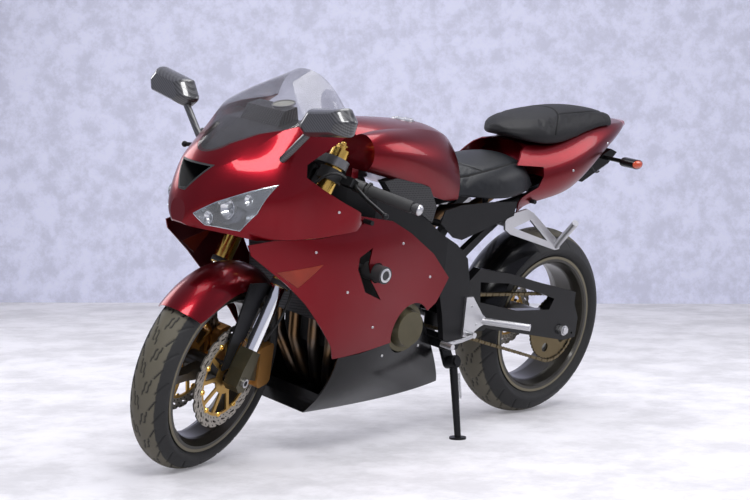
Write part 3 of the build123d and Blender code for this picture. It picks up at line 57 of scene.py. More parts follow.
class Body(Enum):
    """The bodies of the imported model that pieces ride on."""

    CHASSIS = "chassis"
    STEERING = "steering"
    FRONT_WHEEL = "front_wheel"
    REAR_WHEEL = "rear_wheel"
    SIDE_STAND = "side_stand"


class Across(Enum):
    """The Object axis that a flat pattern is seen along."""

    X = 0
    Y = 1
    Z = 2


# Shader maths

class Value:
    """A socket whose arithmetic adds Math nodes."""

    def __init__(self, sheet: "Sheet", socket: bpy.types.NodeSocket) -> None:
        """Keeps the material sheet and the socket.

        Args:
            sheet: the sheet that new nodes are added to.
            socket: the output socket that holds the value.
        """
        self.sheet = sheet
        self.socket = socket

    def _math(self, operation: str, *values: Any) -> "Value":
        """Adds one Math node.

        Args:
            operation: Blender's name for the operation.
            values: the node's inputs, as numbers or Values.

        Returns:
            The node's output.
        """
        return self.sheet.node("ShaderNodeMath", {"operation": operation}, dict(enumerate(values)))

    def __add__(self, other: Any) -> "Value":
        """Adds a number or a Value."""
        return self._math("ADD", self, other)

    def __radd__(self, other: Any) -> "Value":
        """Adds to a number."""
        return self._math("ADD", other, self)

    def __sub__(self, other: Any) -> "Value":
        """Takes away a number or a Value."""
        return self._math("SUBTRACT", self, other)

    def __rsub__(self, other: Any) -> "Value":
        """Takes this from a number."""
        return self._math("SUBTRACT", other, self)

    def __mul__(self, other: Any) -> "Value":
        """Multiplies by a number or a Value."""
        return self._math("MULTIPLY", self, other)

    def __rmul__(self, other: Any) -> "Value":
        """Multiplies a number."""
        return self._math("MULTIPLY", other, self)

    def __truediv__(self, other: Any) -> "Value":
        """Divides by a number or a Value."""
        return self._math("DIVIDE", self, other)

    def __gt__(self, other: Any) -> "Value":
        """One where this is the larger, otherwise zero."""
        return self._math("GREATER_THAN", self, other)

    def __lt__(self, other: Any) -> "Value":
        """One where this is the smaller, otherwise zero."""
        return self._math("LESS_THAN", self, other)

    def size(self) -> "Value":
        """The value without its sign."""
        return self._math("ABSOLUTE", self)

    def fraction(self) -> "Value":
        """The part after the point."""
        return self._math("FRACT", self)

    def root(self) -> "Value":
        """The square root."""
        return self._math("SQRT", self)

    def turn_to(self, other: Any) -> "Value":
        """The angle of the point (other, this)."""
        return self._math("ARCTAN2", self, other)

    def between(self, low: float, high: float) -> "Value":
        """Zero below low, one above high, and smooth in between.

        Args:
            low: where the step starts.
            high: where it ends.

        Returns:
            The step.
        """
        return self.sheet.node(
            "ShaderNodeMapRange", {"interpolation_type": "SMOOTHSTEP"},
            {"Value": self, "From Min": low, "From Max": high},
        )


class Sheet:
    """The node tree of one material, with its Principled shader."""

    def __init__(self, name: str) -> None:
        """Makes an empty material with a Principled shader.

        Args:
            name: the material's name.
        """
        self.material = bpy.data.materials.new(name)
        self.material.use_nodes = True
        self.tree = self.material.node_tree
        self.shader = self.tree.nodes["Principled BSDF"]
        self._coordinates: Any = None

    def plug(self, socket: bpy.types.NodeSocket, value: Any) -> None:
        """Links a Value to a socket, or sets the socket's number, colour or vector.

        Args:
            socket: the input socket.
            value: the Value, socket, number or tuple.
        """
        if isinstance(value, Value):
            self.tree.links.new(value.socket, socket)
        elif isinstance(value, bpy.types.NodeSocket):
            self.tree.links.new(value, socket)
        elif isinstance(value, (tuple, list)) and socket.type == "RGBA":
            socket.default_value = (*value[:3], 1.0)
        else:
            socket.default_value = value

    def node(self, kind: str, settings: dict[str, Any] | None = None, inputs: dict[Any, Any] | None = None,
             output: int | str = 0) -> Value:
        """Adds any node.

        Args:
            kind: the node's type.
            settings: its own settings, set first; "stops" are a ramp's (place, colour) pairs.
            inputs: values or links of its sockets, by name or number.
            output: which output is wanted.

        Returns:
            The wanted output.
        """
        made = self.tree.nodes.new(kind)
        for name, value in (settings or {}).items():
            if name == "stops":
                ramp = made.color_ramp
                for place, colour in value[2:]:
                    ramp.elements.new(place)
                for element, (place, colour) in zip(ramp.elements, value):
                    element.position = place
                    element.color = (*colour, 1.0)
            else:
                setattr(made, name, value)
        for key, value in (inputs or {}).items():
            self.plug(made.inputs[key], value)
        return Value(self, made.outputs[output])

    def place(self) -> Value:
        """Adds the point in Object coordinates, once for each material.

        Returns:
            The point.
        """
        if self._coordinates is None:
            self._coordinates = self.node("ShaderNodeTexCoord", output="Object")
        return self._coordinates

    def turned(self, centre: Sequence[float], axes: Matrix) -> tuple[Value, Value, Value]:
        """The point measured from a centre along three axes of its own.

        Args:
            centre: where the three numbers are zero, in metres.
            axes: the three unit axes, one in each row.

        Returns:
            The three distances, in metres.
        """
        offset = self.node("ShaderNodeVectorMath", {"operation": "SUBTRACT"},
                           {0: self.place(), 1: tuple(centre)})
        return tuple(
            self.node("ShaderNodeVectorMath", {"operation": "DOT_PRODUCT"}, {0: offset, 1: tuple(axis)}, "Value")
            for axis in axes
        )

    def split(self) -> tuple[Value, Value, Value]:
        """The three Object coordinates."""
        parts = self.node("ShaderNodeSeparateXYZ", inputs={0: self.place()})
        return tuple(Value(self, parts.socket.node.outputs[i]) for i in range(3))

    def noise(self, scale: float, detail: float = 2.0, roughness: float = 0.5) -> Value:
        """Noise from zero to one.

        Args:
            scale: waves in a metre.
            detail: octaves.
            roughness: weight of the finer octaves.

        Returns:
            The noise.
        """
        return self.node("ShaderNodeTexNoise", None,
                         {"Vector": self.place(), "Scale": scale, "Detail": detail, "Roughness": roughness})

    def mix(self, factor: Any, first: Any, second: Any) -> Value:
        """Mixes two colours.

        Args:
            factor: zero for the first, one for the second.
            first: a colour or a link.
            second: a colour or a link.

        Returns:
            The mixed colour.
        """
        made = self.tree.nodes.new("ShaderNodeMix")
        made.data_type = "RGBA"
        self.plug(made.inputs[0], factor)
        self.plug(made.inputs[6], first)
        self.plug(made.inputs[7], second)
        return Value(self, made.outputs[2])

    def bump(self, height: Value, depth: float) -> Value:
        """Turns a height from zero to one into a normal.

        Args:
            height: the height.
            depth: the real depth, in metres.

        Returns:
            The normal.
        """
        return self.node("ShaderNodeBump", None, {"Height": height, "Distance": depth, "Strength": 1.0})

    def dress(self, **sockets: Any) -> bpy.types.Material:
        """Sets the shader's sockets, with underscores for the spaces in their names.

        Args:
            sockets: values or links.

        Returns:
            The finished material.
        """
        for name, value in sockets.items():
            self.plug(self.shader.inputs[name.replace("_", " ")], value)
        return self.material


# Finishes

@dataclass(frozen=True)
class CandyPaint:
    """Deep red lacquer over a metallic base."""

    name: str = "candy_red"
    deep: Colour = (0.105, 0.0006, 0.0035)
    bright: Colour = (0.230, 0.0016, 0.0085)

    def make(self) -> bpy.types.Material:
        """Builds the material.

        Returns:
            The material, with its node tree.
        """
        sheet = Sheet(self.name)
        flake = sheet.noise(2600.0, 1.0)
        cloud = sheet.noise(3.0, 2.0)
        colour = sheet.mix(flake * 0.45 + cloud * 0.55, self.deep, self.bright)
        return sheet.dress(
            Base_Color=colour, Metallic=0.90, Roughness=sheet.noise(40.0) * 0.05 + 0.28,
            Coat_Weight=0.40, Coat_Roughness=0.03, Coat_IOR=1.4, Normal=sheet.bump(sheet.noise(420.0, 1.0), 0.000012),
        )


@dataclass(frozen=True)
class Enamel:
    """Sprayed paint or powder on metal."""

    name: str
    colour: Colour
    roughness: float = 0.4
    metallic: float = 0.0
    coat: float = 0.0
    grain: float = 0.00003
    shade: float = 0.25

    def make(self) -> bpy.types.Material:
        """Builds the material.

        Returns:
            The material, with its node tree.
        """
        sheet = Sheet(self.name)
        dark = tuple(c * (1 - self.shade) for c in self.colour)
        light = tuple(min(1.0, c * (1 + self.shade)) for c in self.colour)
        colour = sheet.mix(sheet.noise(14.0, 4.0), dark, light)
        return sheet.dress(
            Base_Color=colour, Metallic=self.metallic, Coat_Weight=self.coat, Coat_Roughness=0.06,
            Roughness=sheet.noise(60.0, 3.0) * 0.12 + (self.roughness - 0.06),
            Normal=sheet.bump(sheet.noise(900.0, 2.0), self.grain), Specular_IOR_Level=0.24,
        )


@dataclass(frozen=True)
class Metal:
    """Bare, plated or anodised metal with fine scratches."""

    name: str
    colour: Colour
    roughness: float = 0.25
    brushing: Triple = (40.0, 40.0, 40.0)
    tint: Colour | None = None
    depth: float = 0.00001

    def make(self) -> bpy.types.Material:
        """Builds the material.

        Returns:
            The material, with its node tree.
        """
        sheet = Sheet(self.name)
        stretched = sheet.node("ShaderNodeMapping", None, {"Vector": sheet.place(), "Scale": self.brushing})
        scratch = sheet.node("ShaderNodeTexNoise", None, {"Vector": stretched, "Scale": 10.0, "Detail": 4.0})
        dark = tuple(c * 0.82 for c in self.colour)
        colour = sheet.mix(scratch, dark, self.colour)
        if self.tint is not None:
            colour = sheet.mix(sheet.noise(9.0, 3.0).between(0.42, 0.62), colour, self.tint)
        return sheet.dress(
            Base_Color=colour, Metallic=1.0, Roughness=scratch * 0.14 + (self.roughness - 0.07),
            Normal=sheet.bump(scratch, self.depth),
        )


@dataclass(frozen=True)
class Moulding:
    """Moulded plastic or rubber with a spark-eroded grain."""

    name: str
    colour: Colour
    roughness: float = 0.55
    scale: float = 1400.0
    depth: float = 0.00006

    def make(self) -> bpy.types.Material:
        """Builds the material.

        Returns:
            The material, with its node tree.
        """
        sheet = Sheet(self.name)
        cells = sheet.node("ShaderNodeTexVoronoi", {"feature": "SMOOTH_F1"},
                           {"Vector": sheet.place(), "Scale": self.scale})
        light = tuple(c * 1.5 + 0.004 for c in self.colour)
        return sheet.dress(
            Base_Color=sheet.mix(sheet.noise(25.0, 4.0), self.colour, light),
            Roughness=sheet.noise(80.0, 2.0) * 0.12 + (self.roughness - 0.06),
            Normal=sheet.bump(cells, self.depth),
        )


@dataclass(frozen=True)
class ClearPlastic:
    """Clear or tinted plastic that is seen through."""

    name: str
    colour: Colour
    alpha: float = 0.35
    roughness: float = 0.04

    def make(self) -> bpy.types.Material:
        """Builds the material.

        Returns:
            The material, with its node tree.
        """
        sheet = Sheet(self.name)
        edge = sheet.node("ShaderNodeLayerWeight", None, {"Blend": 0.35}, "Facing")
        return sheet.dress(
            Base_Color=sheet.mix(sheet.noise(6.0), self.colour, tuple(c * 0.9 for c in self.colour)),
            Roughness=self.roughness, Alpha=edge * 0.4 + self.alpha, Coat_Weight=0.6, Coat_Roughness=0.02,
        )


class Finishes:
    """The finishes of the machine, each made once."""

    def __init__(self, machine: "Machine") -> None:
        """Makes every material.

        Args:
            machine: the machine's own frames, which the wheels' patterns follow.
        """
        rear = (tuple(machine.axle("rear_wheel_spin")), machine.wheel_axes("rear_wheel_spin"))
        front = (tuple(machine.axle("front_wheel_spin")), machine.wheel_axes("front_wheel_spin"))
        table = [
            CarbonWeave("carbon_side", Across.X),
            CarbonWeave("carbon_top", Across.Z),
            Perforated(),
            CoolerFins(),
            WheelPaint("front_wheel_paint", *front),
            WheelPaint("rear_wheel_paint", *rear),
            DiscSteel("front_disc_steel", *front, 0.150),
            DiscSteel("rear_disc_steel", *rear, 0.110, 0.034, 36),
            TyreRubber(),
            ForkLegMetal("fork_leg_metal", tuple(machine.on_fork(0.0, 0.0, 0.0)), tuple(
                (machine.on_fork(0.0, 0.0, 1000.0) - machine.on_fork(0.0, 0.0, 0.0)).normalized())),
            Metal("silencer_steel", (0.420, 0.400, 0.370), 0.30, (4.0, 60.0, 60.0)),
            Metal("mirror_glass", (0.900, 0.910, 0.920), 0.07, (1.0, 1.0, 1.0), None, 0.0),
            Enamel("black_lever", (0.018, 0.018, 0.019), 0.32, 0.6),
            Enamel("dial_face", (0.550, 0.550, 0.520), 0.5),
            Enamel("orange_lens", (0.560, 0.060, 0.008), 0.14, 0.0, 1.0, 0.00001),
            Metal("chain_bronze", (0.150, 0.115, 0.060), 0.36, (20.0, 20.0, 20.0), None, 0.000003),
            Metal("lamp_silver", (0.620, 0.640, 0.670), 0.20, (1.0, 1.0, 1.0), None, 0.0),
            Metal("lamp_glass", (0.300, 0.320, 0.350), 0.05, (1.0, 1.0, 1.0), None, 0.0),
            CandyPaint(),
            Enamel("satin_frame", (0.010, 0.010, 0.011), 0.42, 0.2),
            Enamel("gloss_black", (0.004, 0.004, 0.0045), 0.20, 0.0, 0.0, 0.000008),
            Enamel("case_bronze", (0.095, 0.083, 0.048), 0.42, 0.7, 0.2),
            Enamel("block_black", (0.030, 0.030, 0.030), 0.55, 0.3),
            Enamel("caliper_gold", (0.480, 0.235, 0.070), 0.34, 0.8, 0.3),
            Enamel("clamp_grey", (0.210, 0.210, 0.215), 0.42, 0.8),
            Metal("gold_anodised", (0.780, 0.500, 0.120), 0.20, (8.0, 8.0, 8.0), None, 0.000001),
            Metal("chrome", (0.860, 0.870, 0.880), 0.10, (60.0, 60.0, 4.0)),
            Metal("machined_steel", (0.600, 0.600, 0.610), 0.32),
            Metal("cast_alloy", (0.640, 0.640, 0.650), 0.38, (30.0, 30.0, 30.0)),
            Metal("heated_pipe", (0.130, 0.112, 0.098), 0.34, (20.0, 20.0, 20.0), (0.200, 0.120, 0.060)),
            Metal("chain_steel", (0.200, 0.180, 0.140), 0.36),
            Moulding("black_moulding", (0.020, 0.020, 0.021)),
            Moulding("rubber", (0.016, 0.016, 0.016), 0.7, 900.0, 0.0001),
            SeatVinyl("seat_vinyl", (0.009, 0.010, 0.012), 0.46, 700.0, 0.0002),
            SeatVinyl("pillion_vinyl", (0.008, 0.008, 0.009), 0.58, 420.0, 0.0005),
            ClearPlastic("smoked_screen", (0.060, 0.056, 0.056), 0.12),
            ClearPlastic("clear_lens", (0.800, 0.820, 0.850), 0.08),
            Enamel("amber_lens", (0.240, 0.022, 0.006), 0.16, 0.2, 0.3, 0.00001, 0.7),
            Enamel("red_lens", (0.320, 0.008, 0.010), 0.12, 0.0, 1.0, 0.00001),
        ]
        self.made = {finish.name: finish.make() for finish in table}

    def assign(self, piece: bpy.types.Object, name: str) -> None:
        """Puts one finish on the whole of a piece.

        Args:
            piece: the object.
            name: the finish.
        """
        slots = piece.data.materials
        if not slots:
            slots.append(self.made[name])
        for i in range(len(slots)):
            slots[i] = self.made[name]


@dataclass(frozen=True)
class CarbonWeave:
    """Twill of black carbon tows under clear lacquer, with painted sheen: one set of tows and their crowns are
    lighter.
    """

    name: str
    across: Across
    pitch: float = 0.0024

    def make(self) -> bpy.types.Material:
        """Builds the material.

        Returns:
            The material, with its node tree.
        """
        sheet = Sheet(self.name)
        flat = [value for axis, value in enumerate(sheet.split()) if axis != self.across.value]
        cells = [value / self.pitch - (value / self.pitch).fraction() for value in flat]
        twill = ((cells[0] + cells[1]) * 0.25).fraction() > 0.4
        along = (flat[0] / self.pitch).fraction() * twill + (flat[1] / self.pitch).fraction() * (1 - twill)
        crown = 1 - (along - 0.5).size() * 1.4
        return sheet.dress(
            # the lighter tows and crowns are painted sheen; the fibre itself is black
            Base_Color=sheet.mix(twill * crown, (0.012, 0.012, 0.013), (0.075, 0.076, 0.080)),
            Roughness=twill * 0.18 + 0.28, Coat_Weight=1.0, Coat_Roughness=0.04,
            Normal=sheet.bump(crown, 0.00008),
        )


@dataclass(frozen=True)
class Perforated:
    """Black plastic with rows of small punched holes, painted near-black as shade."""

    name: str = "perforated_panel"
    pitch: float = 0.0065

    def make(self) -> bpy.types.Material:
        """Builds the material.

        Returns:
            The material, with its node tree.
        """
        sheet = Sheet(self.name)
        x, _, z = sheet.split()
        row = z / self.pitch - (z / self.pitch).fraction()
        u = (x / self.pitch + row * 0.5).fraction() - 0.5
        v = (z / self.pitch).fraction() - 0.5
        hole = 1 - (u * u + v * v).root().between(0.24, 0.32)
        return sheet.dress(
            # the holes are painted near-black: painted shade inside them, while the panel colour is the plastic's own
            Base_Color=sheet.mix(hole, (0.030, 0.030, 0.032), (0.002, 0.002, 0.002)),
            Roughness=hole * 0.3 + 0.45, Normal=sheet.bump(1 - hole, 0.0006),
        )


@dataclass(frozen=True)
class CoolerFins:
    """Fine dark cooler core behind a wire grid, with painted shade in the gaps between the fins."""

    name: str = "cooler_fins"
    tube_pitch: float = 0.008
    fin_pitch: float = 0.0032

    def make(self) -> bpy.types.Material:
        """Builds the material.

        Returns:
            The material, with its node tree.
        """
        sheet = Sheet(self.name)
        _, y, z = sheet.split()
        tube = ((z / self.tube_pitch).fraction() - 0.5).size().between(0.10, 0.30)
        fin = ((y / self.fin_pitch).fraction() - 0.5).size().between(0.12, 0.34)
        core = 1 - (1 - tube) * fin
        return sheet.dress(
            # the near-black stripes between the tubes and fins are painted shade in the gaps
            Base_Color=sheet.mix(core, (0.006, 0.006, 0.007), (0.085, 0.085, 0.090)),
            Metallic=0.6, Roughness=0.5, Normal=sheet.bump(core, 0.0012),
        )


@dataclass(frozen=True)
class ForkLegMetal:
    """Polished tube above a dark bronze casting, parted at a height along the fork."""

    name: str
    centre: Triple
    upward: Triple
    edge: float = 0.402

    def make(self) -> bpy.types.Material:
        """Builds the material.

        Returns:
            The material, with its node tree.
        """
        sheet = Sheet(self.name)
        height, = sheet.turned(self.centre, (self.upward,))
        polished = height > self.edge
        cast = sheet.mix(sheet.noise(20.0, 4.0), (0.070, 0.062, 0.036), (0.105, 0.092, 0.055))
        return sheet.dress(
            Base_Color=sheet.mix(polished, cast, (0.820, 0.830, 0.840)), Metallic=polished * 0.2 + 0.8,
            Roughness=0.34 - polished * 0.24,
            Normal=sheet.bump(sheet.noise(700.0, 3.0) * (1 - polished), 0.00008),
        )


@dataclass(frozen=True)
class SeatVinyl:
    """Grained vinyl, darker and matt along the seams that the mesh marks."""

    name: str
    colour: Colour
    roughness: float
    grain: float
    depth: float
    mark: str = "seam"

    def make(self) -> bpy.types.Material:
        """Builds the material.

        Returns:
            The material, with its node tree.
        """
        sheet = Sheet(self.name)
        seam = sheet.node("ShaderNodeAttribute", {"attribute_name": self.mark}, output="Fac").between(0.35, 0.8)
        dark = tuple(c * 0.8 for c in self.colour)
        light = tuple(c * 1.3 for c in self.colour)
        surface_tone = sheet.mix(sheet.noise(9.0, 4.0), dark, light)
        return sheet.dress(
            Base_Color=sheet.mix(seam, surface_tone, (0.001, 0.001, 0.001)), Roughness=seam * 0.3 + self.roughness,
            Specular_IOR_Level=0.3, Normal=sheet.bump(sheet.noise(self.grain, 3.0), self.depth),
        )


@dataclass(frozen=True)
class TyreRubber:
    """Rubber with dust and painted sheen on the middle of the tread and painted shade in its cuts, which the mesh
    marks in attributes.
    """

    name: str = "tyre_rubber"
    mark: str = "cut"

    def make(self) -> bpy.types.Material:
        """Builds the material.

        Returns:
            The material, with its node tree.
        """
        sheet = Sheet(self.name)
        cut = sheet.node("ShaderNodeAttribute", {"attribute_name": self.mark}, output="Fac")
        dust = sheet.node("ShaderNodeAttribute", {"attribute_name": "dust"}, output="Fac")
        scrub = sheet.noise(60.0, 8.0, 0.75)
        # the lighter tan middle of the tread is partly dust and partly painted sheen of the warm lamps
        film = (dust * 1.5 + scrub - 1.0).between(0.10, 0.55)
        surface_tone = sheet.mix(film, (0.012, 0.012, 0.012), (0.120, 0.108, 0.078))
        return sheet.dress(
            # the cuts are painted near-black, darker than clean rubber: they keep no dust, and the rest of the
            # darkening is painted shade
            Base_Color=sheet.mix(cut, surface_tone, (0.003, 0.003, 0.003)), Roughness=scrub * 0.2 + 0.58,
            Normal=sheet.bump(sheet.noise(500.0, 3.0), 0.0002),
        )


@dataclass(frozen=True)
class WheelPaint:
    """Dark bronze casting with a brighter, more metallic lip that is a painted reflection, measured from its axle."""

    name: str
    centre: Triple
    axes: tuple[Triple, ...]
    lip: float = 0.2215

    def make(self) -> bpy.types.Material:
        """Builds the material.

        Returns:
            The material, with its node tree.
        """
        sheet = Sheet(self.name)
        _, u, v = sheet.turned(self.centre, Matrix(self.axes))
        radius = (u * u + v * v).root()
        lip = radius.between(self.lip, self.lip + 0.002)
        cloud = sheet.noise(18.0, 4.0)
        cast = sheet.mix(cloud, (0.022, 0.020, 0.016), (0.044, 0.039, 0.029))
        return sheet.dress(
            # the brighter bronze lip is a painted reflection of the warm backdrop
            Base_Color=sheet.mix(lip, cast, (0.170, 0.150, 0.100)), Metallic=lip * 0.5 + 0.5,
            Roughness=cloud * 0.1 + 0.30, Coat_Weight=0.3, Coat_Roughness=0.1,
            Normal=sheet.bump(sheet.noise(800.0, 2.0), 0.00004),
        )


@dataclass(frozen=True)
class DiscSteel:
    """Ground brake ring with drilled holes, painted near-black as shade, on a gold anodised carrier."""

    name: str
    centre: Triple
    axes: tuple[Triple, ...]
    ring: float
    band: float = 0.034
    holes: int = 48
    hole_size: float = 0.0031

    def make(self) -> bpy.types.Material:
        """Builds the material.

        Returns:
            The material, with its node tree.
        """
        sheet = Sheet(self.name)
        _, u, v = sheet.turned(self.centre, Matrix(self.axes))
        radius = (u * u + v * v).root()
        turn = v.turn_to(u) * (self.holes / (2 * math.pi))
        swept = turn + radius * 60.0
        row = (radius - (self.ring - self.band)) / (self.band / 3)
        along = (swept.fraction() - 0.5) * (2 * math.pi * self.ring / self.holes)
        across = (row.fraction() - 0.5) * (self.band / 3)
        on_ring = radius > (self.ring - self.band)
        hole = (1 - ((along * along + across * across).root() > self.hole_size)) * on_ring
        lathe = (radius * 900.0).fraction()
        steel = sheet.mix(lathe, (0.330, 0.300, 0.250), (0.430, 0.400, 0.350))
        colour = sheet.mix(on_ring, (0.480, 0.290, 0.080), steel)
        # the holes are painted near-black and not metallic: painted shade where the drillings are
        return sheet.dress(
            Base_Color=sheet.mix(hole, colour, (0.010, 0.010, 0.010)), Metallic=1 - hole,
            Roughness=lathe * 0.08 + 0.28, Normal=sheet.bump(lathe * (1 - hole) - hole, 0.00004),
        )


NODE_FINISH: dict[str, tuple[str, ...]] = {
    "candy_red": ("upper_cowl", "side_fairings", "front_fender", "fuel_tank", "tail_cowl"),
    "satin_frame": ("frame", "subframe", "side_covers", "side_stand", "rear_shock", "fork_guards", "cowl_stay"),
    "gloss_black": ("belly_pan", "plate_carrier", "swingarm", "rear_hugger"),
    "case_bronze": ("generator_cover", "clutch_cover"),
    "block_black": ("engine",),
    "cooler_fins": ("radiator",),
    "caliper_gold": ("front_calipers", "rear_caliper"),
    "clamp_grey": ("steering_clamps",),
    "gold_anodised": ("fork_tubes",),
    "fork_leg_metal": ("fork_legs",),
    "machined_steel": ("front_axle", "rear_axle"),
    "chain_bronze": ("rear_sprocket",),
    "cast_alloy": ("fuel_cap", "passenger_pegs", "rearsets"),
    "black_lever": ("levers",),
    "heated_pipe": ("exhaust_headers", "exhaust_link"),
    "silencer_steel": ("silencer",),
    "black_moulding": ("air_intake", "clip_on_bars", "undertray", "crash_bungs"),
    "perforated_panel": ("knee_panels",),
    "carbon_side": ("mirrors",),
    "carbon_top": ("dash",),
    "rubber": ("grips",),
    "seat_vinyl": ("rider_seat",),
    "pillion_vinyl": ("pillion_seat",),
    "smoked_screen": ("windscreen",),
    "clear_lens": ("headlights",),
    "amber_lens": ("front_signals",),
    "red_lens": ("tail_lamp",),
    "tyre_rubber": ("front_tyre", "rear_tyre"),
    "front_wheel_paint": ("front_rim",),
    "rear_wheel_paint": ("rear_rim",),
    "front_disc_steel": ("front_discs",),
    "rear_disc_steel": ("rear_disc",),
    "chain_steel": ("chain",),
}


# Studio

@dataclass
class Studio:
    """Pale floor and backdrop, soft lamps and the photograph's camera."""

    rear_axle: Vector
    camera_offset: Vector = field(default_factory=lambda: Vector((4.27552, 3.51542, 0.60456)))
    look: Vector = field(default_factory=lambda: Vector((-0.70883, -0.70213, -0.06766)))
    up_hint: Vector = field(default_factory=lambda: Vector((0.00342, 0.0, 0.99999)))
    lens: float = 79.19
    floor_colour: Colour = (0.74, 0.73, 0.78)
    wall_colour: Colour = (0.60, 0.61, 0.76)

    def build(self) -> None:
        """Builds the whole studio."""
        self.place_camera()
        self.light()
        self.lay_floor()
        bpy.context.scene.view_settings.view_transform = "Standard"

    def place_camera(self) -> None:
        """Sets the camera where the photograph was taken from."""
        data = bpy.data.cameras.new("camera")
        data.lens = self.lens
        data.sensor_width = 36.0
        data.clip_end = 100.0
        camera = bpy.data.objects.new("camera", data)
        bpy.context.scene.collection.objects.link(camera)
        back = -self.look.normalized()
        right = self.up_hint.cross(back).normalized()
        up = back.cross(right)
        turn = Matrix((right, up, back)).transposed().to_4x4()
        camera.matrix_world = Matrix.Translation(self.rear_axle + self.camera_offset) @ turn
        bpy.context.scene.camera = camera

    def light(self) -> None:
        """Adds the lamps and the world's even light."""
        world = bpy.data.worlds.new("studio")
        bpy.context.scene.world = world
        world.use_nodes = True
        tree = world.node_tree
        lit = tree.nodes["Background"]
        lit.inputs["Color"].default_value = (0.93, 0.93, 1.0, 1.0)
        lit.inputs["Strength"].default_value = 0.20
        seen = tree.nodes.new("ShaderNodeBackground")
        seen.inputs["Color"].default_value = (*self.wall_colour, 1.0)
        seen.inputs["Strength"].default_value = 0.75
        path = tree.nodes.new("ShaderNodeLightPath")
        rays = path.outputs["Is Camera Ray"]
        for ray in ("Is Glossy Ray", "Is Transmission Ray"):
            either = tree.nodes.new("ShaderNodeMath")
            either.operation = "MAXIMUM"
            tree.links.new(rays, either.inputs[0])
            tree.links.new(path.outputs[ray], either.inputs[1])
            rays = either.outputs[0]
        choice = tree.nodes.new("ShaderNodeMixShader")
        tree.links.new(rays, choice.inputs[0])
        tree.links.new(lit.outputs[0], choice.inputs[1])
        tree.links.new(seen.outputs[0], choice.inputs[2])
        tree.links.new(choice.outputs[0], tree.nodes["World Output"].inputs["Surface"])
        for name, place, width, depth, power in (
            ("key_lamp", (2.2, 2.6, 3.4), 1.8, 1.2, 110.0),
            ("top_lamp", (-0.4, 0.2, 3.6), 3.2, 2.0, 85.0),
            ("rear_lamp", (-3.2, 2.2, 2.4), 1.8, 1.8, 42.0),
            ("right_lamp", (1.0, -3.4, 2.4), 2.4, 1.6, 45.0),
        ):
            data = bpy.data.lights.new(name, "AREA")
            data.shape = "RECTANGLE"
            data.size = width
            data.size_y = depth
            data.energy = power
            lamp = bpy.data.objects.new(name, data)
            bpy.context.scene.collection.objects.link(lamp)
            lamp.location = place
            lamp.rotation_euler = (Vector((0.0, 0.0, 0.5)) - Vector(place)).to_track_quat("-Z", "Y").to_euler()

    def paint_cloth(self, name: str, colour: Colour, glow: float, grain: float,
                    contrast: float) -> bpy.types.Material:
        """Makes the mottled cloth of the floor and the backdrop.

        Args:
            name: the material's name.
            colour: its paler colour.
            glow: the share of the colour that the camera and reflections see without lamps.
            grain: the scale of its mottling.
            contrast: how much darker the mottling gets.

        Returns:
            The material.
        """
        sheet = Sheet(name)
        mottle = sheet.noise(grain, 8.0, 0.72).between(0.36, 0.62)
        dark = tuple(c * (1 - contrast) for c in colour)
        seen = sum((sheet.node("ShaderNodeLightPath", output=ray) for ray in (
            "Is Camera Ray", "Is Glossy Ray", "Is Transmission Ray")), 0.0)
        shown = sheet.mix(mottle, dark, colour)
        lit = sheet.mix(seen * glow, (0.0, 0.0, 0.0), shown)
        behind = sheet.node("ShaderNodeNewGeometry", output="Backfacing")
        return sheet.dress(Base_Color=shown, Roughness=0.88, Emission_Color=lit, Emission_Strength=1.0,
                           Alpha=1 - behind)

    def lay_floor(self) -> None:
        """Makes the floor with an upright backdrop behind the machine."""
        shape = bmesh.new()
        bmesh.ops.create_grid(shape, x_segments=1, y_segments=1, size=9.0)
        floor = finish_mesh("studio_floor", shape)
        floor.data.materials.append(self.paint_cloth("studio_cloth", self.floor_colour, 0.26, 3.0, 0.22))
        wall_shape = bmesh.new()
        bmesh.ops.create_grid(wall_shape, x_segments=1, y_segments=1, size=9.0)
        bmesh.ops.rotate(wall_shape, verts=wall_shape.verts, matrix=Matrix.Rotation(math.radians(90), 3, "X"))
        bmesh.ops.rotate(wall_shape, verts=wall_shape.verts, matrix=Matrix.Rotation(math.radians(135), 3, "Z"))
        bmesh.ops.translate(wall_shape, verts=wall_shape.verts, vec=self.look.normalized() * 4.2)
        wall_shape.normal_update()
        turned = [face for face in wall_shape.faces if face.normal.dot(self.look) > 0]
        bmesh.ops.reverse_faces(wall_shape, faces=turned)
        wall = finish_mesh("studio_backdrop", wall_shape)
        wall.data.materials.append(self.paint_cloth("studio_paper", self.wall_colour, 0.34, 9.0, 0.20))


def finish_mesh(name: str, shape: bmesh.types.BMesh, smooth: bool = False) -> bpy.types.Object:
    """Turns a bmesh into an object of the scene.

    Args:
        name: the object's name.
        shape: the bmesh, which is freed.
        smooth: whether its faces are shaded smooth.

    Returns:
        The object.
    """
    mesh = bpy.data.meshes.new(name)
    shape.to_mesh(mesh)
    shape.free()
    for polygon in mesh.polygons:
        polygon.use_smooth = smooth
    made = bpy.data.objects.new(name, mesh)
    bpy.context.scene.collection.objects.link(made)
    return made


# The machine's own frames, and tools that set pieces down on it

